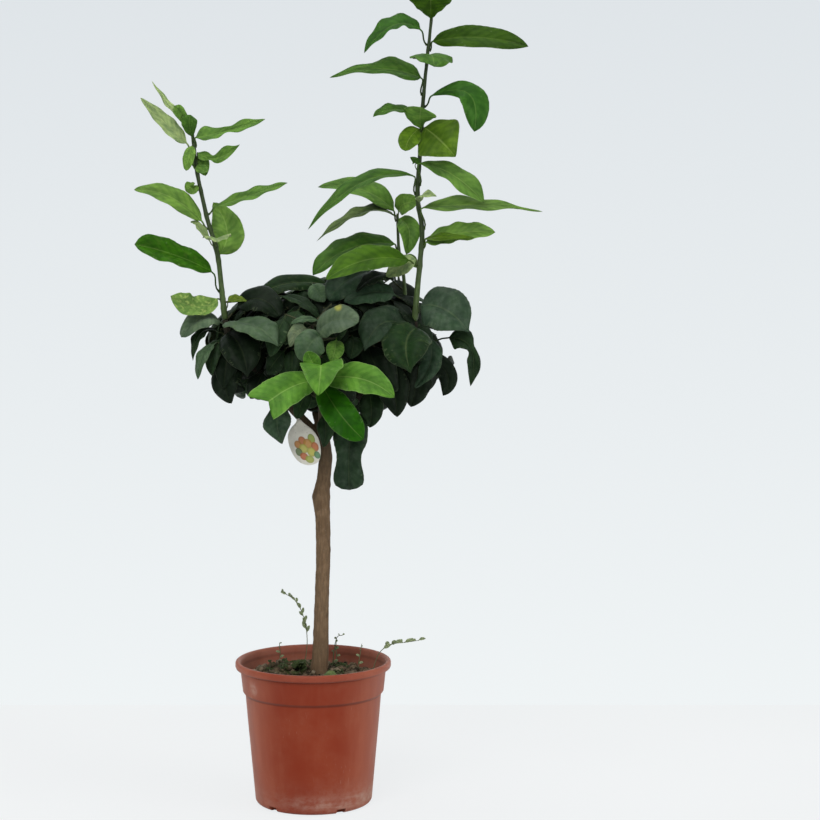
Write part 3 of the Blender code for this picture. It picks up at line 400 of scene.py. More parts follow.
OUTLINES = {    # share of the blade's length and of its half width
    "blunt": ((0, 0.05), (0.06, 0.5), (0.16, 0.92), (0.3, 1), (0.42, 0.9), (0.54, 0.74),
              (0.66, 0.76), (0.8, 0.86), (0.9, 0.84), (0.96, 0.66), (1, 0.1)),
    "tailed": ((0, 0.1), (0.06, 0.52), (0.15, 0.86), (0.3, 1), (0.45, 0.9), (0.6, 0.64),
               (0.75, 0.38), (0.9, 0.16), (1, 0.03)),
    "waisted": ((0, 0.12), (0.05, 0.52), (0.12, 0.9), (0.22, 1), (0.35, 0.72), (0.46, 0.4),
                (0.56, 0.38), (0.68, 0.6), (0.8, 0.54), (0.92, 0.25), (1, 0.03)),
    "broad_end": ((0, 0.1), (0.1, 0.42), (0.3, 0.74), (0.5, 0.93), (0.68, 1), (0.82, 0.84),
                  (0.92, 0.46), (1, 0.03)),
    "angular": ((0, 0.1), (0.08, 0.4), (0.3, 0.8), (0.5, 1), (0.72, 0.64), (0.88, 0.3),
                (1, 0.03)),
    "fan": ((0, 0.06), (0.2, 0.3), (0.48, 0.72), (0.74, 1), (0.87, 0.88), (0.95, 0.5), (1, 0.08)),
    "club": ((0, 0.1), (0.12, 0.34), (0.27, 0.58), (0.44, 0.9), (0.6, 1), (0.76, 0.95),
             (0.88, 0.7), (0.95, 0.42), (1, 0.05)),
    "swept": ((0, 0.1), (0.05, 0.6), (0.12, 0.84), (0.28, 1), (0.4, 0.84), (0.5, 0.62),
              (0.62, 0.46), (0.75, 0.34), (0.9, 0.2), (1, 0.03)),
    "winged": ((0, 0.2), (0.08, 0.6), (0.22, 0.62), (0.38, 0.42), (0.5, 0.84), (0.62, 1),
               (0.76, 0.95), (0.86, 0.55), (0.94, 0.18), (1, 0.03)),
    "ragged": ((0, 0.1), (0.08, 0.52), (0.22, 0.82), (0.48, 1), (0.72, 0.94), (0.84, 0.78),
               (0.93, 0.46), (1, 0.03)),
    "spatula": ((0, 0.1), (0.08, 0.46), (0.22, 0.74), (0.4, 0.86), (0.56, 0.94), (0.72, 1),
                (0.84, 0.94), (0.92, 0.72), (0.97, 0.4), (1, 0.03)),
    "lobed": ((0, 0.22), (0.1, 0.5), (0.28, 0.76), (0.52, 0.9), (0.76, 0.96), (0.92, 1),
              (1, 0.92)),
    "full": ((0, 0.12), (0.06, 0.5), (0.15, 0.77), (0.3, 0.95), (0.5, 1), (0.7, 0.91), (0.84, 0.7),
             (0.93, 0.42), (1, 0.03)),
    "drip": ((0, 0.1), (0.05, 0.5), (0.15, 0.84), (0.32, 1), (0.5, 1), (0.68, 0.86), (0.8, 0.62),
             (0.89, 0.3), (0.95, 0.1), (1, 0.03)),
}
POWERS = {"oval": (0.80, 0.72), "wavy": (0.80, 0.72), "round": (0.92, 0.52),
          "slender": (0.80, 0.90)}
RESTLESS = {    # shapes with stronger waves along the margin
    "wavy": 1.6, "ragged": 1.6, "spatula": 1.4, "waisted": 1.1, "tailed": 1.1}

SCORCH = (0.039, 0.691, -0.095)     # a yellowed spot: across, height, and how far back

PETIOLE_SHARE = 0.10
PETIOLE_RADIUS = 0.0011
STALK_STEPS = 6
LEAF_GAP = 0.0003
LEAF_THICKNESS = 0.00045
TIP_HALF_WIDTH = 0.0004
ACROSS = (-1.0, -0.965, -0.74, -0.44, -0.14, 0.0, 0.14, 0.44, 0.74, 0.965, 1.0)
ACROSS_COARSE = (-1.0, -0.94, -0.5, 0.0, 0.5, 0.94, 1.0)
GOLDEN_ANGLE = math.radians(137.5)

# Crown: the leafy dome round the limbs. Its outlines are seen from the viewer

CROWN_CENTRE = Vector((0.022, 0.010, 0.622))
CROWN_REACH = Vector((0.185, 0.160, 0.105))
CROWN_TOP = (
    (-0.185, 0.655), (-0.15, 0.672), (-0.11, 0.694), (-0.07, 0.706), (-0.03, 0.722), (0.03, 0.734),
    (0.09, 0.738), (0.13, 0.722), (0.166, 0.7), (0.17, 0.628), (0.197, 0.622),
)
CROWN_FOOT = (
    (-0.185, 0.64), (-0.15, 0.6), (-0.11, 0.566), (-0.06, 0.56), (-0.03, 0.548), (0.02, 0.54),
    (0.08, 0.54), (0.12, 0.552), (0.17, 0.574), (0.197, 0.59),
)
CROWN_FRONT_Y = -0.022      # nearer than this, the leaves are placed one by one
CROWN_NEAREST_Y = -0.150
FRONT_REACH = Vector((0.185, 0.135, 0.105))
VIEWER_X, VIEWER_DISTANCE = 0.133, 3.246
VIEWER = Vector((VIEWER_X, -VIEWER_DISTANCE, 0.890))
VIEW_SLOPE = 0.074
VIEW_TILT = 6.1
VIEW_SENSOR = 36.0
FILL_TRIES = 16
FILL_CUTS = 3       # how many faces of other leaves a filling leaf may cut
# the filling leaves are mostly of the painted-shade tone
FILL_TONES = ("shade", "shade", "deep", "deep", "deep", "dusty")
FILL_NEAR_TONES = ("shade", "shade", "shade", "deep")
NEAR_TRIES = 14
NEAR_TONES = ("shade", "shade", "deep")
NEAR_SPUR_LENGTH = 0.055
KNOT_FOOT_Z = 0.56

# Weeds: name, stem points, number of leaves, leaf length, leaf width ------

WEEDS = (
    ("tall_weed", ((-0.014, 0.04, 0.179), (-0.01, 0.04, 0.215), (-0.014, 0.04, 0.247),
     (-0.026, 0.04, 0.272), (-0.046, 0.04, 0.286)), 14, 0.0085, 0.0048),
    ("rim_weed", ((0.08, 0.022, 0.176), (0.09, 0.026, 0.201), (0.107, 0.029, 0.213),
     (0.128, 0.03, 0.216), (0.147, 0.03, 0.219)), 9, 0.009, 0.0058),
    ("weed_tuft", ((-0.019, -0.012, 0.179), (-0.018, -0.012, 0.19), (-0.017, -0.012, 0.196)), 26,
     0.01, 0.007),
    ("back_seedling", ((0.031, 0.05, 0.178), (0.03, 0.05, 0.2), (0.03, 0.051, 0.213)), 4, 0.0055,
     0.0032),
    ("left_seedling", ((-0.049, 0.045, 0.178), (-0.048, 0.045, 0.198), (-0.049, 0.046, 0.212)), 4,
     0.0052, 0.003),
)
SPROUT_STEMS = (    # name, stem points, number of leaves
    ("rear_sprout", ((0.026, 0.045, 0.18), (0.026, 0.045, 0.202)), 2),
    ("right_sprout", ((0.06, 0.034, 0.178), (0.066, 0.04, 0.212)), 4),
    ("trunk_sprout", ((0.024, 0.05, 0.18), (0.03, 0.051, 0.216), (0.04, 0.052, 0.222)), 4),
)
SPROUT_LEAF = (0.0055, 0.0034)      # length and width
SPRIG_FOOT = (0.012, -0.050)

# Label ---------------------------------------------------------------------

LABEL_THICKNESS = 0.0006
LABEL_HEIGHT = 0.536
LABEL_LOOP_HALF_DEPTH = 0.0100
LABEL_STRAP_WIDTH = 0.0040
LABEL_FORWARD = 0.0125
LABEL_LENGTH = 0.067
LABEL_LEAN = 0.0150
LABEL_BOW = 0.0012
LABEL_WIDTH = 0.0424
LABEL_WIDTHS = (    # height above the foot, width
    (0, 0.004), (0.0012, 0.014), (0.003, 0.022), (0.006, 0.029), (0.01, 0.034), (0.015, 0.038),
    (0.02, 0.0405), (0.026, 0.0422), (0.032, 0.0424), (0.038, 0.041), (0.044, 0.0365),
    (0.049, 0.03), (0.053, 0.022), (0.056, 0.015), (0.059, 0.009), (0.062, 0.0055),
)
LABEL_DROPS = (     # place across, place up, half width, half height, colour
    (0.52, 0.54, 0.20, 0.085, (0.36, 0.46, 0.07)),
    (-0.10, 0.50, 0.21, 0.075, (0.62, 0.20, 0.06)),
    (0.22, 0.44, 0.25, 0.085, (0.66, 0.33, 0.08)),
    (-0.42, 0.42, 0.20, 0.070, (0.60, 0.26, 0.06)),
    (0.64, 0.38, 0.20, 0.080, (0.62, 0.19, 0.06)),
    (-0.12, 0.34, 0.24, 0.080, (0.62, 0.58, 0.12)),
    (0.34, 0.27, 0.24, 0.080, (0.64, 0.60, 0.11)),
    (-0.46, 0.27, 0.19, 0.070, (0.16, 0.24, 0.09)),
    (-0.20, 0.18, 0.22, 0.065, (0.60, 0.17, 0.06)),
    (0.66, 0.21, 0.17, 0.065, (0.12, 0.30, 0.14)),
    (0.12, 0.12, 0.24, 0.065, (0.46, 0.52, 0.10)),
)

# Stage ---------------------------------------------------------------------

FLOOR_HALF_SIZE = (5.0, 2.79)
FLOOR_BACK_Y = 0.58
FLOOR_DROP = 0.0004
SOFTBOXES = (   # name, place, what it points at, size, power
    ("softbox_top", (0.0, -0.3, 3.1), (0.0, 0.0, 0.6), 2.6, 52.0),
    ("softbox_front", (-0.9, -2.9, 2.6), (0.0, 0.0, 0.5), 1.8, 58.0),
    ("softbox_side", (2.7, -1.2, 1.4), (0.0, 0.0, 0.4), 1.5, 24.0),
)
LIGHT_COLOUR = (1.0, 0.985, 0.96)
SKY_COLOUR = (0.93, 0.97, 1.0)
SKY_STRENGTH = 0.17
WALL_LOW, WALL_HIGH = -0.23, 0.07       # where the backdrop's colours begin and end


# Settings ------------------------------------------------------------------

def colour_setting(name, description, default):
    return FloatVectorProperty(name=name, description=description, default=default,
                               subtype="COLOR", size=3, min=0.0, max=1.0)


def count_setting(name, description, default, low, high):
    return IntProperty(name=name, description=description, default=default, min=low, max=high)


def length_setting(name, description, default, low, high):
    return FloatProperty(name=name, description=description, default=default, min=low,
                         max=high, subtype="DISTANCE", unit="LENGTH")


class PotSettings(bpy.types.PropertyGroup):
    colour: colour_setting("Plastic", "Colour of the pot's plastic", (0.250, 0.030, 0.008))
    dust: colour_setting("Dust", "Colour of the dust on the pot", (0.52, 0.36, 0.29))
    segments: count_setting("Segments", "Steps round the pot", 160, 24, 360)


class SoilSettings(bpy.types.PropertyGroup):
    colour: colour_setting("Soil", "Colour of the moist soil", (0.165, 0.115, 0.068))
    crumbs: count_setting("Crumbs", "Loose bits on the surface", 420, 0, 1500)
    lump_height: length_setting("Lumps", "Height of the surface's lumps", 0.0028, 0.0, 0.01)


class StemSettings(bpy.types.PropertyGroup):
    bark: colour_setting("Bark", "Colour of the trunk's bark", (0.175, 0.108, 0.056))
    shoot: colour_setting("Shoot", "Colour of the green shoots", (0.060, 0.100, 0.028))
    voxel: length_setting("Grain", "Mesh size of the trunk", 0.0012, 0.0008, 0.005)


class LeafSettings(bpy.types.PropertyGroup):
    fill_twigs: count_setting("Twigs", "Leafy twigs inside the crown", 26, 0, 80)
    fill_leaves: count_setting("Filling leaves", "Leaves tried inside the crown", 230, 0, 400)
    front_leaves: count_setting("Near leaves", "Leaves tried in its near half", 110, 0, 300)
    wave: length_setting("Wave", "Height of the waves along the leaf margins", 0.0016, 0.0,
                         0.005)
    quilt: length_setting("Quilting", "Rise of the blade between its veins", 0.0008, 0.0, 0.003)


class LabelSettings(bpy.types.PropertyGroup):
    colour: colour_setting("Label", "Colour of the label's plastic", (0.85, 0.83, 0.74))


class StageSettings(bpy.types.PropertyGroup):
    floor: colour_setting("Floor", "Colour of the floor", (0.90, 0.92, 0.93))
    wall_low: colour_setting("Wall, low", "Backdrop near the floor", (0.87, 0.905, 0.915))
    wall_high: colour_setting("Wall, high", "Backdrop at the top", (0.74, 0.78, 0.81))
    lens: FloatProperty(name="Lens", description="Focal length in millimetres",
                        default=105.4, min=10.0, max=300.0)


SETTINGS = {"bergamot_pot": PotSettings, "bergamot_soil": SoilSettings,
            "bergamot_stem": StemSettings, "bergamot_leaf": LeafSettings,
            "bergamot_label": LabelSettings, "bergamot_stage": StageSettings}


# Meshes --------------------------------------------------------------------

def show(name, data):
    """A new object in the scene."""
    thing = bpy.data.objects.new(name, data)
    bpy.context.scene.collection.objects.link(thing)
    return thing


def new_mesh(name, bm):
    """A mesh of the faces made so far."""
    mesh = bpy.data.meshes.new(name)
    bm.to_mesh(mesh)
    bm.free()
    return mesh


def add_piece(name, bm, material, slot, *nodes):
    """A finished piece: smooth faces that point outwards, its finish, and what it stands for."""
    bmesh.ops.recalc_face_normals(bm, faces=bm.faces)
    mesh = new_mesh(name, bm)
    mesh.shade_smooth()
    mesh.materials.append(material)
    piece = show(name, mesh)
    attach(piece, BODY)
    if nodes:
        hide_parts(*nodes)
    return piece


def bake_modifiers(piece):
    """Make a piece's modifiers part of its mesh."""
    depsgraph = bpy.context.evaluated_depsgraph_get()
    mesh = bpy.data.meshes.new_from_object(piece.evaluated_get(depsgraph))
    piece.modifiers.clear()
    old = piece.data
    piece.data = mesh
    bpy.data.meshes.remove(old)


def roll_sheet(bm, around, along, place):
    """Roll a grid into a tube: place(i, j) gives the point for a step round and along it.

    Returns its vertices, each with its two steps.
    """
    made = bmesh.ops.create_grid(bm, x_segments=around, y_segments=along, size=0.5)["verts"]
    steps = []
    for vert in made:
        i = round((vert.co.x + 0.5) * around)
        j = round((vert.co.y + 0.5) * along)
        vert.co = place(i % around, j)
        steps.append((vert, i % around, j))
    bmesh.ops.remove_doubles(bm, verts=made, dist=MERGE / 10)
    steps = [step for step in steps if step[0].is_valid]
    rim = {edge for vert, _, _ in steps for edge in vert.link_edges if edge.is_boundary}
    bmesh.ops.holes_fill(bm, edges=list(rim), sides=around)
    return steps


def smooth_path(line, steps):
    """Points and radii along a Catmull-Rom curve through a stem's points."""
    points = [Vector(row[:3]) for row in line]
    radii = [row[3] for row in line]
    padded = [points[0] * 2 - points[1], *points, points[-1] * 2 - points[-2]]
    path = []
    for index in range(len(points) - 1):
        p0, p1, p2, p3 = padded[index:index + 4]
        for step in range(steps):
            t = step / steps
            bend = (2 * p0 - 5 * p1 + 4 * p2 - p3) * t ** 2
            swing = (3 * p1 - p0 - 3 * p2 + p3) * t ** 3
            centre = (2 * p1 + (p2 - p0) * t + bend + swing) / 2
            path.append((centre, radii[index] * (1 - t) + radii[index + 1] * t))
    path.append((points[-1], radii[-1]))
    return path


def path_frames(path):
    """Each path point with a side and an up vector that don't twist."""
    frames = []
    side = Vector((1, 0, 0))
    for index, (centre, radius) in enumerate(path):
        before = path[max(index - 1, 0)][0]
        after = path[min(index + 1, len(path) - 1)][0]
        along = (after - before).normalized()
        side = (side - along * side.dot(along))
        if side.length < 0.05:
            side = along.orthogonal()
        side.normalize()
        frames.append((centre, radius, side, along.cross(side)))
    return frames


def add_tube(bm, path, sides, round_ends=True):
    """A round tapered stem along a path of points and radii."""
    frames = path_frames(path)
    last = len(frames) - 1

    def place(i, j):
        centre, radius, side, up = frames[j]
        if round_ends and j in (0, last):
            radius *= 0.6
        angle = math.tau * i / sides
        return centre + (side * math.cos(angle) + up * math.sin(angle)) * radius

    return roll_sheet(bm, sides, last, place)


def stem_joint(line, height):
    """Centre, radius and direction of a stem at a height."""
    path = smooth_path(line, PATH_STEPS)
    for (low, low_radius), (high, high_radius) in zip(path, path[1:]):
        if low.z <= height <= high.z:
            t = (height - low.z) / (high.z - low.z)
            radius = low_radius * (1 - t) + high_radius * t
            return low.lerp(high, t), radius, (high - low).normalized()
    raise ValueError(f"no stem at height {height}")


def smooth_share(value, low, high):
    """0 below low, 1 above high, smooth between."""
    t = min(max((value - low) / (high - low), 0.0), 1.0)
    return t * t * (3 - 2 * t)


def jitter(point):
    """A smooth random vector for a place. Unless a seed is set, it differs from run to run."""
    noise.seed_set(NOISE_SEED)
    return noise.noise_vector(point)


# Leaves --------------------------------------------------------------------

Leaf = namedtuple("Leaf", "name base outward middle tip width face fold tone shape lift twist",
                  defaults=("oval", None, 0))


def table_value(table, at):
    """A value between the rows of a table, joined by straight lines."""
    for (x0, y0), (x1, y1) in zip(table, table[1:]):
        if at <= x1:
            return y0 + (y1 - y0) * max(at - x0, 0.0) / (x1 - x0)
    return table[-1][1]


def table_curve(table, at):
    """A value between the rows of a table, joined by a smooth curve."""
    rows = [table[0], *table, table[-1]]
    for before, (x0, y0), (x1, y1), after in zip(rows, rows[1:], rows[2:], rows[3:]):
        if at <= x1 and x1 > x0:
            t = max(at - x0, 0.0) / (x1 - x0)
            rise0 = (y1 - before[1]) / (x1 - before[0]) * (x1 - x0)
            rise1 = (after[1] - y0) / (after[0] - x0) * (x1 - x0)
            return (y0 * (1 - t) ** 2 * (1 + 2 * t) + rise0 * t * (1 - t) ** 2
                    + y1 * t * t * (3 - 2 * t) - rise1 * t * t * (1 - t))
    return table[-1][1]


def half_outline(leaf, share):
    """Half the blade's width at a share of the blade's length."""
    share = min(max(share, 0.0), 1.0)
    if leaf.shape in OUTLINES:
        outline = table_curve(OUTLINES[leaf.shape], share)
    else:
        start, blunt = POWERS[leaf.shape]
        outline = math.sin(math.pi * share ** start) ** blunt
    return max(leaf.width / 2 * outline, TIP_HALF_WIDTH)


def leaf_spine(leaf, count):
    """Point, direction and share of the blade for each step along a leaf.

    A lifted leaf's stalk climbs its stem first. Shares below 0 are on the stalk.
    """
    start, stalk = leaf.base, PETIOLE_SHARE
    spine = []
    if leaf.lift is not None:
        start, stalk = leaf.base + leaf.lift, 0.0
        length = leaf.lift.length
        away = ((leaf.middle - start) * 4 - (leaf.tip - start)).normalized()
        first = leaf.base + leaf.lift * 0.35 + leaf.outward * length * 0.22
        second = start - away * length * 0.40
        for step in range(STALK_STEPS):
            t = step / STALK_STEPS
            point = (leaf.base * (1 - t) ** 3 + first * 3 * t * (1 - t) ** 2
                     + second * 3 * t * t * (1 - t) + start * t ** 3)
            way = ((first - leaf.base) * (1 - t) ** 2 + (second - first) * 2 * t * (1 - t)
                   + (start - second) * t * t)
            spine.append((point, way.normalized(), (t - 1) * 0.15))
        count -= STALK_STEPS
    for step in range(count + 1):
        t = step / count
        u = t ** 0.9 if t < 1 else 1.0
        point = (start * (1 - 2 * u) * (1 - u) + leaf.middle * 4 * u * (1 - u)
                 + leaf.tip * u * (2 * u - 1))
        way = (start * (4 * u - 3) + leaf.middle * (4 - 8 * u) + leaf.tip * (4 * u - 1))
        if not spine:
            way = leaf.outward
        spine.append((point, way.normalized(), (u - stalk) / (1 - stalk)))
    return spine


def leaf_rings(leaf, count):
    """Centre, side, up and share of the blade at each step along a leaf."""
    rings = []
    face = Vector(leaf.face)
    for centre, along, share in leaf_spine(leaf, count):
        up = (face - along * face.dot(along)).normalized()
        up = Matrix.Rotation(math.radians(leaf.twist) * max(share, 0.0), 3, along) @ up
        rings.append((centre, along.cross(up), up, share))
    return rings


def leaf_mesh():
    """A new mesh, and the attributes a leaf's finish reads: place on the blade, colour, state."""
    bm = bmesh.new()
    layers = bm.verts.layers
    return bm, (layers.float_vector.new("leaf_place"), layers.float_color.new("leaf_colour"),
                layers.float_vector.new("leaf_state"))


def add_leaf(bm, leaf, layers, wave, quilt, count=34, across=ACROSS):
    """A leaf: stalk, midrib, side veins, quilted blade and wavy margins."""
    rng = random.Random(leaf.name)
    rings = leaf_rings(leaf, count)
    halves = len(across) - 1
    around = halves * 2
    length = (leaf.middle - leaf.base).length + (leaf.tip - leaf.middle).length
    ripple = min(length / 0.09, 1.0)
    waves = rng.uniform(2.2, 3.8)
    swing = wave * ripple * rng.uniform(0.7, 1.3) * RESTLESS.get(leaf.shape, 1.0)
    phases = (rng.uniform(0, math.tau), rng.uniform(0, math.tau))
    veins = 7 + 2 * ripple
    puff = quilt * ripple * rng.uniform(0.8, 1.3)
    drift = Vector((rng.uniform(-9, 9), rng.uniform(-9, 9), rng.uniform(-9, 9)))
    fold = math.radians(leaf.fold)
    colour, dust, mottle, veining, slot = TONES[leaf.tone]
    shift = rng.uniform(-0.12, 0.12)
    dark = slot in ("leaf_dark", "leaf_dusty")
    dome = rng.uniform(0.12, 0.22) if dark else rng.uniform(0.05, 0.12)

    def spot(i):
        """Share across the blade and which face, for a step round the section."""
        if i <= halves:
            return across[i], 1.0
        return across[around - i], -1.0

    def place(i, j):
        centre, side, up, share = rings[j]
        v, face_sign = spot(i)
        angle = math.pi - math.tau * i / around
        stalk = Vector((math.cos(angle), math.sin(angle), 0)) * PETIOLE_RADIUS * ripple ** 0.5
        if share <= 0.0:
            swell = 1 + 0.5 * (j == 0)
            return centre + side * stalk.x * swell + up * stalk.y * swell
        if j == count and leaf.shape != "lobed":
            return centre
        a = abs(v)
        half = half_outline(leaf, share)
        ragged = 0.14 if leaf.shape in RESTLESS else 0.07
        edge_wave = ragged * noise.noise(Vector((share * 4.5, 2 * (v > 0), 3)) + drift)
        crenate = 0.012 * math.sin(share * 88 + phases[v > 0])
        half *= 1 + (edge_wave + crenate) * math.sin(math.pi * share) * (a > 0.9)
        x = half * math.cos(fold) * v
        z = half * math.sin(fold) * a ** 1.2
        body = math.sin(math.pi * min(share, 1.0)) ** 0.5
        z += half * dome * math.sin(math.pi * a)
        z += puff * body * math.sin(math.pi * a) ** 0.6 * (
            abs(math.sin(math.pi * (share * veins - a * 1.7))) ** 0.6 - 0.55)
        z += swing * body * a ** 3 * math.sin(math.tau * waves * share + phases[v > 0])
        z += 0.0012 * ripple * body * a * noise.noise(Vector((share * 3, v * 1.3, 0)) + drift)
        rib = math.exp(-(a / 0.10) ** 2)
        if dark:
            z -= half * (0.16 * a ** 4 + 0.5 * max(share - 0.78, 0.0) ** 1.5)
        if leaf.shape == "blunt":
            z += 0.004 * math.exp(-((share - 0.50) / 0.07) ** 2)
        thick = LEAF_THICKNESS / 2 * (1 - a ** 4)
        if face_sign > 0:
            z += thick - 0.0003 * rib * ripple
        else:
            z -= thick + 0.0009 * (1 - 0.75 * share) * rib * ripple
        blend = smooth_share(share, 0.0, 0.06)
        if leaf.shape == "lobed":
            notch = 0.014 * (1 - a) ** 1.3 * smooth_share(share, 0.75, 1.0)
            centre = centre - up.cross(side) * notch
        return (centre + side * (stalk.x * (1 - blend) + x * blend)
                + up * (stalk.y * (1 - blend) + z * blend))

    placed, coloured, stated = layers
    for vert, i, j in roll_sheet(bm, around, count, place):
        v, face_sign = spot(i)
        share = rings[j][3]
        under = 0.5 if abs(v) == 1.0 else (1.0 if face_sign < 0 else 0.0)
        tint = 1 + shift + 0.16 * noise.noise(Vector((share * 2, v, 1)) + drift)
        vert[placed] = Vector((share, v, drift.x))
        vert[coloured] = Vector((*(channel * tint for channel in colour), veining))
        vert[stated] = Vector((under, dust, mottle))


def leaf_hull(leaf):
    """A coarse sheet with a leaf's shape, to keep leaves out of each other."""
    rings = leaf_rings(leaf, 8)
    points = []
    for centre, side, up, share in rings:
        half = half_outline(leaf, share) if share > 0 else PETIOLE_RADIUS
        rise = up * half * math.sin(math.radians(leaf.fold))
        points += [centre - side * half + rise, centre, centre + side * half + rise]
    faces = []
    for at in range(0, len(points) - 3, 3):
        faces += [(at, at + 1, at + 4, at + 3), (at + 1, at + 2, at + 5, at + 4)]
    centre = sum(points, Vector()) / len(points)
    radius = max((point - centre).length for point in points)
    return BVHTree.FromPolygons(points, faces), centre, radius


def clashes(hull, others):
    """How many faces of a leaf's hull cut the hulls of other leaves."""
    tree, centre, radius = hull
    return sum(len(tree.overlap(other)) for other, middle, reach in others
               if (middle - centre).length < radius + reach)


def stem_leaf(name, stem, height, middle, tip, *rest):
    """A leaf on a limb or shoot, with a stalk that climbs a little before the blade."""
    middle = Vector(middle)
    centre, radius, along = stem_joint(STEMS[stem], height)
    outward = middle - centre
    outward = (outward - along * outward.dot(along)).normalized()
    base = centre + outward * (radius + LEAF_GAP)
    leaf = Leaf(name, base, outward, middle, Vector(tip), *rest)
    lift = leaf.lift or (SHOOT_LIFT if stem in SHOOT_LINES else LIMB_LIFT)
    if len(lift) == 2:
        lift = along * lift[0] + outward * lift[1]
    else:
        lift = Vector(lift) - base
    return leaf._replace(lift=lift)


def ease_apart(leaf, hulls):
    """The leaf, moved a little forward or back where it would cut another."""
    best = None
    for offset in (0, -4, 4, -8, 8, -12, 12, -17, 17, -23):
        step = Vector((0, offset / 1000, 0))
        moved = leaf._replace(middle=leaf.middle + step, tip=leaf.tip + step * 1.2)
        hull = leaf_hull(moved)
        cuts = clashes(hull, hulls)
        if best is None or cuts < best[0]:
            best = (cuts, moved, hull)
        if cuts == 0:
            break
    hulls.append(best[2])
    return best[1]


# Crown ---------------------------------------------------------------------

def near_stem(point, stems, below):
    """The point of some stems that is nearest to a point, and best below it."""
    return min((centre for line in stems.values() for centre, _ in smooth_path(line, 6)),
               key=lambda centre: (centre - point).length
               + max(centre.z + below - point.z, 0.0) * 2)


def nearest(knots, point):
    return min(knots, key=lambda knot: (knot - point).length)


def in_crown(point, nearest_y=CROWN_FRONT_Y):
    """Whether a point lies in the dome of the crown, no nearer than a given depth."""
    near = VIEWER_DISTANCE / (VIEWER_DISTANCE + point.y)
    x = VIEWER_X + (point.x - VIEWER_X) * near
    z = point.z + VIEW_SLOPE * point.y
    return (CROWN_TOP[0][0] < x < CROWN_TOP[-1][0]
            and table_value(CROWN_FOOT, x) < z < table_value(CROWN_TOP, x) - 0.002
            and nearest_y < point.y < CROWN_CENTRE.y + CROWN_REACH.y + 0.015)


def even_way(index, count, turn=0.0):
    """The way to one of many places spread evenly over a globe, turned a little round it."""
    z = 1 - (2 * index + 1) / count
    flat = math.sqrt(1 - z * z)
    turn += index * GOLDEN_ANGLE
    return flat * math.cos(turn), flat * math.sin(turn), z


def dome_normal(way, reach):
    """The way straight out of a dome, at the place that a way from its centre meets."""
    return Vector(a / b for a, b in zip(way, reach)).normalized()


def shingle(rng, middle, spread, outer, attempt, lengths, widths):
    """Foot, tip, width and sideways vector of a leaf that lies on the dome like a shingle."""
    heading = (spread - outer * spread.dot(outer)).normalized()
    length = rng.uniform(*lengths) * (1 - 0.02 * attempt)
    foot = middle - heading * length * 0.50 - outer * length * 0.10
    tip = middle + heading * length * 0.46 - outer * length * rng.uniform(0.06, 0.2)
    width = length * rng.uniform(*widths)
    return foot, tip, width, heading.cross(outer).normalized() * width


def shingle_leaf(rng, name, foot, middle, tip, width, outer, tone=None):
    """A leaf on the dome, facing out and a little up."""
    face = (outer + Vector((0, 0, 0.35))).normalized()
    fold, twist = rng.uniform(5, 14), rng.uniform(-15, 15)
    return Leaf(name, foot, (middle - foot).normalized(), middle, tip, width, face, fold,
                tone or rng.choice(NEAR_TONES), twist=twist)


def spur(knot, leaf):
    """The path of the short twig that carries a leaf of the crown."""
    bend = leaf.base - leaf.outward * 0.002
    return smooth_path(((*knot, 0.0012), (*bend, 0.0010), (*leaf.base, 0.0010)), 3)


def crown_twigs(count):
    """Twigs from the limbs towards evenly spread places under the dome."""
    twigs = []
    for index in range(count):
        x, y, z = even_way(index, count)
        end = CROWN_CENTRE + Vector((x, y, z * 0.9)) * CROWN_REACH * 0.72
        end.y = max(end.y, CROWN_FRONT_Y + 0.010)
        start = near_stem(end, LIMB_LINES, 0.02)
        bend = start.lerp(end, 0.5) + Vector((0, 0, -0.010))
        twigs.append(smooth_path(((*start, 0.0020), (*bend, 0.0016), (*end, 0.0010)), 6))
    return twigs


def crown_fill(settings, hulls):
    """The leaves that make the crown dense, on its dome and under it, and their twigs."""
    rng = random.Random(41)
    twigs = crown_twigs(settings.fill_twigs)
    knots = [centre for path in twigs for centre, _ in path[4:]]
    leaves = []
    for index in range(settings.fill_leaves):
        best = None
        for attempt in range(FILL_TRIES):
            x, y, z = even_way(index, settings.fill_leaves, rng.uniform(-0.25, 0.25))
            way = Vector((x, y, z + rng.uniform(-0.1, 0.1)))
            depth = rng.uniform(0.66, 1.0) - 0.012 * attempt
            middle = CROWN_CENTRE + way * CROWN_REACH * depth
            middle.y = max(middle.y, CROWN_FRONT_Y + rng.uniform(0.004, 0.022))
            outer = dome_normal(way, CROWN_REACH)
            if middle.y < CROWN_FRONT_Y + 0.025 or way.y < -0.5:
                outer = (outer + Vector((0, -1.5, 0.2))).normalized()
            spread = Vector((way.x, way.y * 0.6, -0.55 - 0.35 * (1 - abs(way.z))))
            spread += Vector((rng.uniform(-0.6, 0.6), rng.uniform(-0.4, 0.4),
                              rng.uniform(-0.3, 0.3)))
            foot, tip, width, across = shingle(rng, middle, spread, outer, attempt,
                                               (0.060, 0.092), (0.50, 0.64))
            foot.y = max(foot.y, CROWN_FRONT_Y + 0.002)
            tip.y = max(tip.y, CROWN_FRONT_Y + 0.002)
            side = across * 0.45
            if not all(in_crown(point) for point in (foot, middle + side, middle - side, tip)):
                continue
            tone = rng.choice(FILL_TONES)
            if middle.y < 0.02:
                tone = rng.choice(FILL_NEAR_TONES)
            leaf = shingle_leaf(rng, f"fill_{index}", foot, middle, tip, width, outer, tone)
            hull = leaf_hull(leaf)
            cuts = clashes(hull, hulls)
            if best is None or cuts < best[0]:
                best = (cuts, leaf, hull)
            if cuts == 0:
                break
        if best is None or best[0] > FILL_CUTS:
            continue
        cuts, leaf, hull = best
        hulls.append(hull)
        leaves.append(leaf)
        twigs.append(spur(nearest(knots, leaf.base), leaf))
    return leaves, twigs


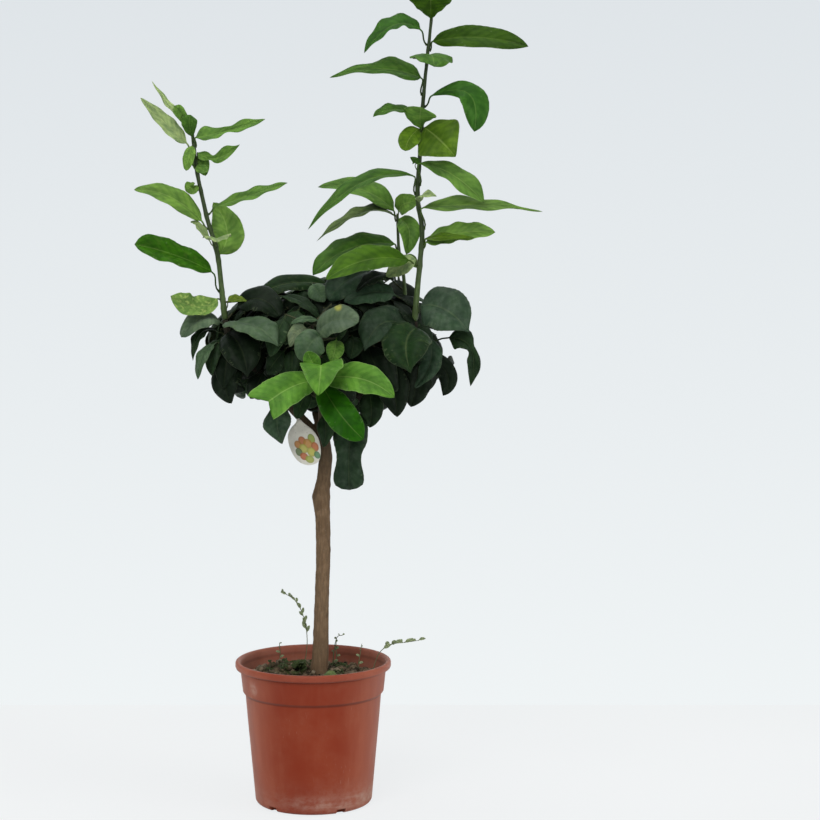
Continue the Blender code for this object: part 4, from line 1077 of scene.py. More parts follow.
def hides(points, shown):
    """Whether any of some points lies just before a leaf that is meant to be seen."""
    for point in points:
        away = (point - VIEWER).normalized()
        for tree, centre, reach in shown:
            if (centre - point).cross(away).length < reach:
                if tree.ray_cast(point, away, 0.20)[0] is not None:
                    return True
    return False


def crown_front(settings, hulls, shown, twigs):
    """Dark leaves in the near half of the crown, behind the ones that are seen."""
    rng = random.Random(77)
    knots = [centre for path in twigs for centre, _ in path[4:]]
    for line in LIMB_LINES.values():
        knots += [centre for centre, _ in smooth_path(line, 6) if centre.z > KNOT_FOOT_Z]
    leaves, spurs = [], []
    for index in range(settings.front_leaves):
        for attempt in range(NEAR_TRIES):
            way = Vector((rng.uniform(-1, 1), rng.uniform(-1, -0.15), rng.uniform(-1, 1)))
            way.normalize()
            middle = CROWN_CENTRE + way * FRONT_REACH * rng.uniform(0.55, 1.0)
            middle.y = min(middle.y, CROWN_FRONT_Y - 0.006)
            outer = dome_normal(way, FRONT_REACH)
            spread = Vector((way.x * 0.8, way.y * 0.3, -0.7))
            spread += Vector((rng.uniform(-0.7, 0.7), rng.uniform(-0.4, 0.4), 0))
            foot, tip, width, across = shingle(rng, middle, spread, outer, attempt,
                                               (0.050, 0.078), (0.48, 0.60))
            side = across * 0.5
            rim = [foot, tip, middle + side, middle - side, middle]
            rim += [end.lerp(middle, 0.5) + edge for end in (foot, tip)
                    for edge in (side * 0.75, side * 0, side * -0.75)]
            if not all(in_crown(point, CROWN_NEAREST_Y) for point in rim[:4]):
                continue
            knot = nearest(knots, foot)
            stalk = [knot.lerp(foot, share) for share in (0.25, 0.5, 0.75)]
            if (knot - foot).length > NEAR_SPUR_LENGTH or hides(rim + stalk, shown):
                continue
            leaf = shingle_leaf(rng, f"near_{index}", foot, middle, tip, width, outer)
            hull = leaf_hull(leaf)
            if clashes(hull, hulls) > 0:
                continue
            hulls.append(hull)
            leaves.append(leaf)
            spurs.append(spur(knot, leaf))
            break
    return leaves, spurs


# Finishes ------------------------------------------------------------------

class Signal:
    """An output of a node. Sums and products of signals are further nodes."""

    def __init__(self, nodes, socket):
        self.nodes = nodes
        self.socket = socket

    def __add__(self, other):
        return self.nodes.math("ADD", self, other)

    def __sub__(self, other):
        return self.nodes.math("SUBTRACT", self, other)

    def __mul__(self, other):
        return self.nodes.math("MULTIPLY", self, other)

    def __truediv__(self, other):
        return self.nodes.math("DIVIDE", self, other)

    def __abs__(self):
        return self.nodes.math("ABSOLUTE", self)


class Nodes:
    """A node tree in the making: each call adds a node and gives its output."""

    def __init__(self, tree):
        self.tree = tree

    def feed(self, socket, value):
        """Link a signal to a socket, or set the socket's own value."""
        if isinstance(value, Signal):
            self.tree.links.new(value.socket, socket)
        elif socket.type == "RGBA" and len(value) == 3:
            socket.default_value = (*value, 1.0)
        else:
            socket.default_value = value

    def node(self, kind, inputs, **settings):
        """A new node itself, with its settings made and its sockets fed."""
        node = self.tree.nodes.new("ShaderNode" + kind)
        for name, value in settings.items():
            setattr(node, name, value)
        for socket, value in inputs.items():
            self.feed(node.inputs[socket], value)
        return node

    def add(self, kind, inputs, output=0, **settings):
        return Signal(self, self.node(kind, inputs, **settings).outputs[output])

    def place(self, output="Object"):
        return self.add("TexCoord", {}, output)

    def attribute(self, name, output="Vector"):
        return self.add("Attribute", {}, output, attribute_name=name)

    def split(self, vector):
        node = self.node("SeparateXYZ", {0: vector})
        return [Signal(self, socket) for socket in node.outputs]

    def join(self, *axes):
        return self.add("CombineXYZ", dict(enumerate(axes)))

    def math(self, operation, a, b=0.0, clamp=False):
        return self.add("Math", {0: a, 1: b}, operation=operation, use_clamp=clamp)

    def distance(self, x, y):
        return self.math("SQRT", x * x + y * y)

    def stretch(self, vector, scale, turn=(0.0, 0.0, 0.0)):
        return self.add("Mapping", {"Vector": vector, "Scale": scale, "Rotation": turn})

    def noise(self, vector, scale, detail, roughness=0.55):
        return self.add("TexNoise", {"Vector": vector, "Scale": scale, "Detail": detail,
                                     "Roughness": roughness})

    def cells(self, vector, scale, feature="F1"):
        return self.add("TexVoronoi", {"Vector": vector, "Scale": scale}, "Distance",
                        feature=feature)

    def span(self, value, low, high, start=0.0, end=1.0):
        """Smoothly from start to end as a value goes from low to high."""
        return self.add("MapRange", {"Value": value, "From Min": low, "From Max": high,
                                     "To Min": start, "To Max": end},
                        interpolation_type="SMOOTHSTEP")

    def fade(self, value, low, high):
        return self.span(value, low, high, 1.0, 0.0)

    def mix(self, factor, a, b, blend="MIX"):
        return self.add("Mix", {0: factor, 6: a, 7: b}, 2, data_type="RGBA", blend_type=blend)

    def stain(self, colour, by):
        return self.mix(1.0, colour, by, "MULTIPLY")


class Finish(Nodes):
    """A material in the making. Its skin is the colour so far, which coats go over."""

    def __init__(self, name, specular, roughness=0.5, sheen=0.0):
        self.material = bpy.data.materials.new(name)
        self.material.use_nodes = True
        super().__init__(self.material.node_tree)
        self.shader = self.tree.nodes["Principled BSDF"]
        for socket, value in (("Roughness", roughness), ("Specular IOR Level", specular),
                              ("Sheen Weight", sheen), ("Sheen Tint", (1.0, 0.80, 0.72))):
            self.feed(self.shader.inputs[socket], value)

    def coat(self, factor, colour):
        self.skin = self.mix(factor, self.skin, colour)

    def done(self, roughness, height, distance, strength):
        """The material with its skin, roughness and relief."""
        relief = self.add("Bump", {"Strength": strength, "Distance": distance,
                                   "Height": height})
        for socket, value in (("Base Color", self.skin), ("Roughness", roughness),
                              ("Normal", relief)):
            self.feed(self.shader.inputs[socket], value)
        return self.material


def citrus_leaf():
    """Leathery citrus leaf: veins, mottling, dust and a paler underside."""
    f = Finish("citrus_leaf", 0.07)
    colour = f.attribute("leaf_colour", "Color")
    veining = f.attribute("leaf_colour", "Alpha")
    under, dust, mottle = f.split(f.attribute("leaf_state"))
    share, across, seed = f.split(f.attribute("leaf_place"))
    edge = abs(across)
    place = f.place()
    own = share + seed * 3.1
    blade = f.join(own * 5.0, across * 1.6, seed)

    cloud = f.noise(blade, 0.9, 2.0)
    tint = f.mix(f.span(cloud, 0.35, 0.68), (0.72, 0.76, 0.75), (1.26, 1.22, 1.12))
    f.skin = f.stain(colour, tint)

    wobble = (f.noise(blade, 2.2, 1.0) - 0.5) * 0.35
    phase = share * 9.0 - edge * 1.7 + wobble
    away = f.math("PINGPONG", phase, 0.5)
    side_vein = f.fade(away, 0.0, 0.075) * f.fade(edge, 0.55, 0.98)
    midrib = f.fade(edge, 0.015, 0.055)
    net = f.cells(f.join(own * 26.0, across * 7.0, seed), 1.0, "DISTANCE_TO_EDGE")
    net = f.fade(net, 0.0, 0.09)
    pale = f.stain(f.skin, (1.75, 1.55, 1.75))
    deeper = f.stain(f.skin, (0.72, 0.78, 0.72))
    f.coat(side_vein * veining, pale)
    f.coat(net * 0.16, deeper)
    # painted shade: the blade is darker in bands beside the side veins, the shade of its quilting
    f.coat(f.span(away, 0.06, 0.30, 0.75, 0.0), deeper)
    f.coat(midrib * veining, f.mix(0.35, pale, (0.22, 0.27, 0.10)))

    patches = f.span(f.noise(blade, 2.4, 3.0), 0.50, 0.66)
    f.coat(patches * (mottle * 0.75), f.mix(0.45, pale, (0.46, 0.52, 0.14)))
    back = f.mix(0.45, f.stain(f.skin, (1.45, 1.35, 1.5)), (0.16, 0.21, 0.11))
    f.coat(under, f.mix(0.5, f.skin, back))

    x, y, z = f.split(place)
    spot_x, spot_z, spot_y = SCORCH
    away = f.distance(x - spot_x, z - spot_z)
    f.coat(f.span(away, 0.002, 0.007, 0.85, 0.0) * f.fade(y, spot_y - 0.004, spot_y),
           (0.42, 0.42, 0.075))
    f.coat(f.span(share, -0.10, 0.02, 0.80, 0.0), (0.030, 0.045, 0.014))

    film = f.span(f.noise(place, 75.0, 4.0, 0.65), 0.36, 0.74, 0.15, 1.0)
    film = film * (dust * f.span(under, 0.0, 1.0, 0.55, 0.15))
    f.coat(film, (0.165, 0.210, 0.160))
    rim = f.span(edge, 0.93, 1.0, 0.0, 0.9) * veining
    f.coat(rim, f.mix(0.3, pale, (0.40, 0.48, 0.26)))

    sheen = f.span(f.noise(place, 40.0, 2.0), 0.3, 0.7, 0.36, 0.50)
    rough = f.math("ADD", sheen, film * 0.45, clamp=True)
    relief = f.noise(place, 700.0, 2.0) * 0.25 + (side_vein + midrib) * -0.5
    return f.done(rough, relief + net * -0.22, 0.00028, 0.8)


def citrus_bark(settings):
    """Thin grey brown bark with fine upright fissures and scars, and painted shade on the upper
    trunk, the fork and the limbs in the crown.
    """
    f = Finish("citrus_bark", 0.25)
    place = f.place()
    z = f.split(place)[2]
    scar = f.attribute("knot", "Fac")
    grain = f.noise(f.stretch(place, (1.0, 1.0, 0.16)), 420.0, 4.0, 0.6)
    patch = f.noise(place, 70.0, 3.0, 0.6)
    f.skin = f.mix(f.span(patch, 0.34, 0.66), settings.bark, (0.240, 0.155, 0.088))
    f.coat(f.span(grain, 0.38, 0.62, 0.55, 0.0), (0.088, 0.056, 0.032))
    spots = f.fade(f.cells(f.stretch(place, (1.0, 1.0, 0.55)), 330.0), 0.10, 0.24)
    f.coat(spots * 0.35, (0.30, 0.24, 0.17))
    # painted light: the lower trunk is painted paler, to lift the shade that falls on it
    f.coat(f.span(z, 0.180, 0.400, 0.32, 0.0), (0.270, 0.180, 0.108))
    f.coat(f.span(z, 0.175, 0.20, 0.30, 0.0), (0.105, 0.068, 0.038))
    # painted shade: the upper trunk and the fork are darker, in the shadow of the crown
    f.coat(f.span(z, 0.40, 0.50) * 0.72, (0.040, 0.030, 0.017))
    # painted shade: the limbs inside the crown are painted nearly black
    f.coat(f.span(z, 0.525, 0.560, 0.0, 0.88), (0.014, 0.013, 0.008))
    f.coat(scar * 0.6, (0.075, 0.052, 0.034))
    relief = grain + patch * 0.6
    return f.done(f.span(patch, 0.3, 0.7, 0.72, 0.88), relief, 0.0008, 0.7)


def shoot_skin(settings):
    """Smooth green skin of the young shoots, striped and darker towards the top."""
    f = Finish("shoot_skin", 0.3)
    place = f.place()
    z = f.split(place)[2]
    stripes = f.noise(f.stretch(place, (1.0, 1.0, 0.08)), 800.0, 2.0)
    cloud = f.noise(place, 55.0, 2.0)
    f.skin = f.mix(f.span(stripes, 0.4, 0.62), settings.shoot, (0.105, 0.165, 0.055))
    f.coat(f.span(cloud, 0.40, 0.65, 0.0, 0.45), (0.035, 0.055, 0.018))
    f.coat(f.span(z, 0.70, 0.80, 0.0, 0.72), (0.018, 0.032, 0.010))
    return f.done(f.span(cloud, 0.3, 0.7, 0.46, 0.6), stripes, 0.0004, 0.6)


def twig_skin():
    """Dark green brown skin of the thin twigs inside the crown."""
    f = Finish("twig_skin", 0.25)
    cloud = f.noise(f.place(), 120.0, 3.0)
    f.skin = f.mix(f.span(cloud, 0.35, 0.65), (0.030, 0.038, 0.016), (0.062, 0.066, 0.030))
    return f.done(f.span(cloud, 0.3, 0.7, 0.6, 0.8), cloud, 0.0004, 0.6)


def pot_plastic(settings):
    """Terracotta coloured plastic: soft streaks, scuffs, and dust round the foot."""
    f = Finish("pot_plastic", 0.14, sheen=0.17)
    place = f.place()
    x, y, z = f.split(place)
    turn = f.math("ARCTAN2", x, y * -1.0)
    radius = f.distance(x, y)
    streaks = f.noise(f.join(turn * 0.09, 0.0, z * 0.22), 60.0, 4.0, 0.55)
    cloud = f.noise(place, 16.0, 3.0, 0.6)
    fine = f.noise(place, 160.0, 4.0, 0.65)
    f.skin = f.mix(f.span(cloud, 0.34, 0.68), settings.colour, (0.275, 0.040, 0.012))
    f.coat(f.span(streaks, 0.46, 0.72, 0.0, 0.22), (0.330, 0.075, 0.035))
    haze = f.span(fine, 0.35, 0.75, 0.35, 1.0) * f.span(cloud, 0.40, 0.62, 0.0, 0.035)
    f.coat(haze, settings.dust)
    # painted reflection: the left and right sides of the pot are painted paler and more orange, in
    # place of the sheen the pale room gives at glancing angles
    painted_side_sheen = f.span(f.math("COSINE", turn * 2.0), -0.5, 0.8, 0.46, 0.0)
    f.coat(painted_side_sheen * f.span(streaks, 0.3, 0.7, 0.7, 1.0), (0.54, 0.178, 0.100))

    low = f.fade(z, 0.004, 0.060)
    band = f.span(z, 0.004, 0.012) * f.fade(z, 0.016, 0.032)
    right = f.span(x, -0.06, 0.055, 0.30, 1.0)
    scuff = f.span(f.noise(f.join(turn * 0.040, 0.0, z), 85.0, 6.0, 0.62), 0.36, 0.68)
    foot = low * right * f.span(fine, 0.3, 0.7, 0.10, 0.24)
    foot = f.math("ADD", foot, band * scuff * (right * 0.62), clamp=True)
    outside = f.span(radius, 0.074, 0.078)
    f.coat(foot * outside, settings.dust)
    smear = (f.fade(abs(turn - SMEAR_TURN), 0.0, 0.14)
             * f.fade(abs(z - SMEAR_Z), 0.003, 0.012))
    smear = smear * f.span(fine, 0.3, 0.6, 0.10, 0.42)
    f.coat(smear * f.span(radius, 0.095, 0.0965), (0.58, 0.42, 0.34))
    scratch = f.noise(f.stretch(place, (1.0, 1.0, 0.05), (0.5, 0.2, 0.0)), 900.0, 2.0)
    scratch = f.span(scratch, 0.66, 0.72) * f.span(cloud, 0.5, 0.6)
    f.coat(scratch * 0.25, (0.47, 0.25, 0.19))

    # painted highlight: the top of the lip is painted paler, where the light falls on it
    f.coat(f.span(z, 0.186, 0.190) * 0.22, (0.36, 0.14, 0.10))
    # painted shade: a dark line under the collar's step and under the lip, where their overhangs
    # cast shadow
    step = abs(z - (COLLAR_FOOT_Z - STEP_DEPTH * 0.7))
    below_lip = abs(z - (POT_HEIGHT - LIP_DEPTH - 0.0006))
    painted_crease_shade = f.math("MAXIMUM", f.span(step, 0.0010, 0.0030, 0.62, 0.0),
                    f.span(below_lip, 0.0008, 0.0030, 0.50, 0.0))
    f.coat(painted_crease_shade, (0.085, 0.010, 0.003))
    # painted light: the inside wall is painted paler and greyer, most of all low down, in place of
    # light bouncing into the pot
    inner = f.span(z, 0.172, 0.190, 0.85, 0.50) * f.attribute("inside", "Fac")
    f.coat(inner * f.span(fine, 0.3, 0.7, 0.7, 1.0), (0.320, 0.145, 0.100))
    rough = f.math("ADD", f.span(cloud, 0.3, 0.7, 0.40, 0.52), foot * 0.4 + haze * 0.5,
                   clamp=True)
    return f.done(rough, fine * 0.5 + scratch * -0.8, 0.00022, 0.5)


def potting_mix(settings):
    """Moist peat and bark, with paler fibres and the odd pale grain."""
    f = Finish("potting_mix", 0.2)
    place = f.place()
    bit = f.attribute("bit_tone", "Fac")
    coarse = f.noise(place, 170.0, 5.0, 0.7)
    fine = f.noise(place, 700.0, 4.0, 0.7)
    f.skin = f.mix(f.span(coarse, 0.38, 0.62), (0.016, 0.011, 0.007), settings.colour)
    f.coat(f.span(fine, 0.48, 0.68, 0.0, 0.5), (0.150, 0.115, 0.070))
    f.coat(bit, (0.290, 0.230, 0.160))
    f.coat(f.span(f.noise(place, 45.0, 2.0), 0.48, 0.64, 0.0, 0.40), (0.014, 0.010, 0.006))
    x = f.split(place)[0]
    mossy = f.span(f.noise(place, 90.0, 4.0, 0.6), 0.48, 0.58, 0.0, 0.8) * (
        f.span(x, -0.008, 0.020, 1.0, 0.15) * f.span(x, -0.055, -0.030, 0.25, 1.0))
    f.coat(mossy, (0.038, 0.066, 0.014))
    f.coat(f.span(x, 0.020, 0.050) * f.span(coarse, 0.44, 0.60, 0.0, 0.6),
           (0.260, 0.190, 0.120))
    relief = coarse + fine * 0.5
    return f.done(f.span(fine, 0.3, 0.7, 0.78, 0.98), relief, 0.0022, 0.9)


def label_print(settings):
    """Off white plastic, printed low down with a loose ring of coloured drops."""
    f = Finish("label_print", 0.4, 0.42)
    across, rise, _ = f.split(f.attribute("label_place"))
    cloud = f.noise(f.place(), 60.0, 3.0)
    f.skin = f.mix(f.span(cloud, 0.35, 0.65), settings.colour, (0.72, 0.70, 0.62))
    for middle, height, half_width, half_height, ink in LABEL_DROPS:
        dx = (across - middle) / (half_width * 1.15)
        dz = (rise - height) / (half_height * 1.20)
        far = dx * dx + dz * dz
        shaded = f.mix(f.span(far, 0.1, 1.0), ink, tuple(channel * 0.72 for channel in ink))
        f.coat(f.span(far, 0.85, 1.1, 0.92, 0.0), shaded)
    specks = f.fade(f.cells(f.join(across * 4.0, rise * 14.0, 0.0), 1.0), 0.10, 0.2)
    specks = specks * (f.span(rise, 0.60, 0.66) * f.span(rise, 0.80, 0.84, 0.30, 0.0))
    f.coat(specks, (0.17, 0.13, 0.11))
    return f.done(f.span(cloud, 0.3, 0.7, 0.34, 0.5), cloud, 0.0003, 0.3)


def stage_floor(settings):
    """Plain pale floor that keeps the object's shadow."""
    f = Finish("stage_floor", 0.1, 0.9)
    cloud = f.noise(f.place(), 1.2, 2.0)
    colour = f.mix(f.span(cloud, 0.3, 0.7), settings.floor,
                   tuple(channel * 0.985 for channel in settings.floor))
    f.feed(f.shader.inputs["Base Color"], colour)
    glow = f.add("Emission", {"Color": colour})
    seen = f.add("LightPath", {}, "Is Camera Ray")
    shaded = Signal(f, f.shader.outputs[0])
    blend = f.add("MixShader", {0: seen * 0.86, 1: shaded, 2: glow})
    f.feed(f.tree.nodes["Material Output"].inputs["Surface"], blend)
    return f.material


# Pieces --------------------------------------------------------------------

def pot_section():
    """Half section of the pot: up the outside, over the lip and down inside."""
    body_top_z = COLLAR_FOOT_Z - STEP_DEPTH
    lip_z = POT_HEIGHT - LIP_DEPTH
    outside = [(0.0, 0.0), (BODY_FOOT_RADIUS - FOOT_ROUND, 0.0)]
    for degrees in range(15, 91, 15):
        turn = math.radians(degrees)
        outside.append((BODY_FOOT_RADIUS - FOOT_ROUND * (1 - math.sin(turn)),
                        FOOT_ROUND * (1 - math.cos(turn))))
    for share in (0.25, 0.5, 0.75):
        outside.append((BODY_FOOT_RADIUS + (BODY_TOP_RADIUS - BODY_FOOT_RADIUS) * share,
                        FOOT_ROUND + (body_top_z - FOOT_ROUND) * share))
    outside += [(BODY_TOP_RADIUS - 0.0004, body_top_z - 0.0012), (BODY_TOP_RADIUS, body_top_z),
                (COLLAR_FOOT_RADIUS - 0.0010, COLLAR_FOOT_Z - 0.0006),
                (COLLAR_FOOT_RADIUS, COLLAR_FOOT_Z + 0.0010),
                (COLLAR_TOP_RADIUS - 0.0003, lip_z - 0.0012),
                (COLLAR_TOP_RADIUS + 0.0004, lip_z - 0.0002), (LIP_RADIUS - 0.0022, lip_z),
                (LIP_RADIUS - 0.0008, lip_z + 0.0006), (LIP_RADIUS, lip_z + 0.0025),
                (LIP_RADIUS, POT_HEIGHT - 0.0030), (LIP_RADIUS - 0.0006, POT_HEIGHT - 0.0012),
                (LIP_RADIUS - 0.0022, POT_HEIGHT)]
    inside = [(COLLAR_TOP_RADIUS + 0.0018, POT_HEIGHT - 0.0002),
              (COLLAR_TOP_RADIUS + 0.0004, POT_HEIGHT - 0.0012),
              (COLLAR_TOP_RADIUS - WALL + 0.0006, POT_HEIGHT - 0.004),
              (COLLAR_TOP_RADIUS - WALL, lip_z - 0.001),
              (COLLAR_FOOT_RADIUS - WALL, COLLAR_FOOT_Z), (BODY_TOP_RADIUS - WALL, body_top_z),
              (BODY_FOOT_RADIUS - WALL, FOOT_ROUND + 0.001),
              (BODY_FOOT_RADIUS - WALL - 0.003, POT_BASE), (0.0, POT_BASE)]
    return outside, inside


def spin_section(section, segments, inner=()):
    """Turn a list of (radius, z) points about Z. The ends lie on the axis.

    Points of inner are marked as the inside of a vessel.
    """
    bm = bmesh.new()
    marked = bm.verts.layers.float.new("inside")
    verts = [bm.verts.new((radius, 0.0, z)) for radius, z in section]
    for vert, point in zip(verts, section):
        vert[marked] = float(point in inner)
    edges = [bm.edges.new(pair) for pair in zip(verts, verts[1:])]
    bmesh.ops.spin(bm, geom=verts + edges, cent=(0, 0, 0), axis=(0, 0, 1),
                   angle=math.tau, steps=segments, use_merge=True)
    bmesh.ops.remove_doubles(bm, verts=bm.verts, dist=MERGE)
    return bm


def cut(piece, bm):
    """Take a shape out of a piece."""
    cutter = show(piece.name + "_cutter", new_mesh(piece.name + "_cutter", bm))
    modifier = piece.modifiers.new("cut", "BOOLEAN")
    modifier.operation = "DIFFERENCE"
    modifier.solver = "EXACT"
    modifier.object = cutter
    bake_modifiers(piece)
    bpy.data.meshes.remove(cutter.data)


def soil_height(x, y, lumps):
    """Height of the soil's lumpy surface at a place."""
    radius = math.hypot(x, y) / COLLAR_FOOT_RADIUS
    rise = SOIL_MOUND * (1 - radius ** 2)
    drop = SOIL_RIM_DROP * smooth_share(radius, 0.78, 0.97)
    heap_x, heap_y = SOIL_HEAP_PLACE
    rise += SOIL_HEAP * math.exp(-((x - heap_x) ** 2 + (y - heap_y) ** 2)
                                 / SOIL_HEAP_REACH ** 2)
    lump = noise.fractal(Vector((x, y, 0.3)) * 70, 0.9, 2.1, 4)
    return SOIL_Z + rise - drop + lumps * lump * (1 - 0.6 * smooth_share(radius, 0.85, 1.0))


def scatter(rng, count, reach, clear):
    """Random places on the soil, some way clear of the trunk."""
    for _ in range(count):
        radius = reach * math.sqrt(rng.random())
        turn = rng.uniform(0, math.tau)
        x, y = radius * math.cos(turn), radius * math.sin(turn)
        if math.hypot(x - TRUNK_X, y) >= clear:
            yield x, y


def label_stations():
    """Centre and width of the label's strip, from its foot to the strap's end."""
    centre, radius, along = stem_joint(LIMB_LINES["left_limb"], LABEL_HEIGHT)
    slope = abs(along.z / along.x)
    half_height = (radius * math.hypot(1, slope) + LABEL_STRAP_WIDTH / 2 * slope
                   + LABEL_THICKNESS / 2 + LEAF_GAP)
    foot = centre + Vector((LABEL_LEAN, -LABEL_FORWARD, -LABEL_LENGTH))
    stations = []
    for rise, width in LABEL_WIDTHS:
        lean = -LABEL_LEAN * rise / LABEL_LENGTH
        bow = LABEL_BOW * math.sin(math.pi * rise / LABEL_LENGTH)
        stations.append((foot + Vector((lean, -bow, rise)), width))
    neck = centre + Vector((0, -LABEL_FORWARD + 0.001, -half_height * 0.45))
    stations.append((neck, LABEL_STRAP_WIDTH))
    for degrees in range(180, -151, -15):
        turn = math.radians(degrees)
        reach = Vector((0, LABEL_LOOP_HALF_DEPTH * math.cos(turn), half_height * math.sin(turn)))
        stations.append((centre + reach, LABEL_STRAP_WIDTH))
    return stations


class BERGAMOT_OT_pot(bpy.types.Operator):
    """Make the nursery pot with its lip, collar and drainage notches"""
    bl_idname = "bergamot.pot"
    bl_label = "Make the pot"

    def execute(self, context):
        settings = context.scene.bergamot_pot
        outside, inside = pot_section()
        bm = spin_section(outside + inside, settings.segments, inside)
        for vert in bm.verts:
            turn = math.atan2(vert.co.y, vert.co.x)
            sway = 1 + 0.0022 * math.sin(2 * turn + 0.7) * smooth_share(vert.co.z, 0.03, 0.19)
            vert.co.x *= sway
            vert.co.y *= 2 - sway
        pot = add_piece("nursery_pot", bm, pot_plastic(settings), "pot_plastic", "pot")
        bm = bmesh.new()
        reach = BODY_FOOT_RADIUS + 0.010 - NOTCH_INNER_RADIUS
        for degrees in NOTCH_ANGLES:
            turn = Matrix.Rotation(math.radians(degrees), 4, "Z")
            centre = Matrix.Translation((NOTCH_INNER_RADIUS + reach / 2, 0, 0))
            size = Matrix.Diagonal((reach, NOTCH_WIDTH, NOTCH_HEIGHT * 2, 1))
            bmesh.ops.create_cube(bm, size=1.0, matrix=turn @ centre @ size)
        cut(pot, bm)
        pot.data.set_sharp_from_angle(angle=math.radians(SHARP_ANGLE))
        return {"FINISHED"}


class BERGAMOT_OT_soil(bpy.types.Operator):
    """Make the potting soil, lumpy and strewn with loose bits"""
    bl_idname = "bergamot.soil"
    bl_label = "Make the soil"

    def execute(self, context):
        settings = context.scene.bergamot_soil
        lumps = settings.lump_height
        wall = WALL + LEAF_GAP * 2
        surface_radius = COLLAR_FOOT_RADIUS - wall + 0.001
        section = [(0.0, POT_BASE + LEAF_GAP),
                   (BODY_FOOT_RADIUS - wall - 0.0035, POT_BASE + LEAF_GAP),
                   (BODY_FOOT_RADIUS - wall, FOOT_ROUND + 0.002),
                   (BODY_TOP_RADIUS - wall, COLLAR_FOOT_Z - STEP_DEPTH - LEAF_GAP),
                   (COLLAR_FOOT_RADIUS - wall, COLLAR_FOOT_Z + LEAF_GAP)]
        section += [(surface_radius * (1 - ring / SOIL_RINGS), SOIL_Z)
                    for ring in range(SOIL_RINGS)]
        section.append((0.0, SOIL_Z))
        bm = spin_section(section, SOIL_SEGMENTS)
        for vert in bm.verts:
            if vert.co.z > SOIL_Z - MERGE:
                vert.co.z = soil_height(vert.co.x, vert.co.y, lumps)
        bm.verts.layers.float.new("bit_tone")
        material = potting_mix(settings)
        add_piece("soil_surface", bm, material, "soil", "potting_soil")

        bm = bmesh.new()
        toned = bm.verts.layers.float.new("bit_tone")
        rng = random.Random(7)
        for x, y in scatter(rng, settings.crumbs, CRUMB_REACH, CRUMB_CLEAR):
            size = rng.choice(CRUMB_SIZES)
            flat = Vector((rng.uniform(0.7, 1.7), rng.uniform(0.6, 1.0), rng.uniform(0.45, 0.8)))
            turned = Matrix.Rotation(rng.uniform(0, math.tau), 4, "Z")
            turned = turned @ Matrix.Rotation(rng.uniform(-0.6, 0.6), 4, "X")
            at = Vector((x, y, soil_height(x, y, lumps) + size * 0.25))
            made = bmesh.ops.create_icosphere(
                bm, subdivisions=1, radius=size,
                matrix=Matrix.Translation(at) @ turned @ Matrix.Diagonal((*flat, 1)))["verts"]
            tone = rng.choice(CRUMB_TONES)
            for vert in made:
                vert.co += jitter(vert.co * 500) * size * 0.45
                vert[toned] = tone
        for x, y in scatter(rng, FIBRES, FIBRE_REACH, FIBRE_CLEAR):
            way = rng.uniform(0, math.tau)
            long = rng.uniform(0.004, 0.011)
            at = Vector((x, y, soil_height(x, y, lumps) + 0.0008))
            reach = Vector((math.cos(way) * long, math.sin(way) * long, rng.uniform(0, 0.003)))
            if (at + reach).xy.length > FIBRE_END_REACH:
                continue
            thick = rng.uniform(0.0003, 0.0007)
            middle = at + reach * 0.5 + Vector((0, 0, rng.uniform(0.0004, 0.0016)))
            made = add_tube(bm, [(at, thick), (middle, thick), (at + reach, thick * 0.6)], 5)
            tone = rng.uniform(0.3, 1.0)
            for vert, _, _ in made:
                vert[toned] = tone
        add_piece("soil_crumbs", bm, material, "soil")
        return {"FINISHED"}


class BERGAMOT_OT_trunk(bpy.types.Operator):
    """Make the trunk and limbs with bark relief, knots and graft union"""
    bl_idname = "bergamot.trunk"
    bl_label = "Make the trunk"

    def execute(self, context):
        settings = context.scene.bergamot_stem
        bm = bmesh.new()
        add_tube(bm, smooth_path(TRUNK_LINE, 6), 24, False)
        for line in LIMB_LINES.values():
            add_tube(bm, smooth_path(line, 6), 20, False)
        trunk = add_piece("bark_trunk", bm, citrus_bark(settings), "bark", "trunk")
        remesh = trunk.modifiers.new("grow_together", "REMESH")
        remesh.mode = "VOXEL"
        remesh.voxel_size = settings.voxel
        remesh.use_smooth_shade = True
        bake_modifiers(trunk)
        bm = bmesh.new()
        bm.from_mesh(trunk.data)
        for _ in range(3):
            bmesh.ops.smooth_vert(bm, verts=bm.verts, factor=0.5, use_axis_x=True,
                                  use_axis_y=True, use_axis_z=True)
        bm.normal_update()
        knotted = bm.verts.layers.float.new("knot")
        moves = []
        for vert in bm.verts:
            point = vert.co
            rise = 0.00022 * noise.noise(Vector((point.x * 900, point.y * 900, point.z * 110)))
            rise += 0.00055 * noise.noise(point * 95)
            rise += 0.00016 * noise.noise(point * 420)
            scar = 0.0
            for place, radius, height in KNOTS:
                far = (point - Vector(place)).length / radius
                if far < 2.2:
                    swell = math.exp(-far * far * 1.4)
                    rise += height * swell * (1 - 0.45 * math.exp(-far * far * 9))
                    scar = max(scar, math.exp(-far * far * 2.2))
            vert[knotted] = scar
            moves.append((vert, vert.normal * rise))
        for vert, move in moves:
            vert.co += move
        bm.to_mesh(trunk.data)
        bm.free()
        trunk.data.shade_smooth()
        return {"FINISHED"}


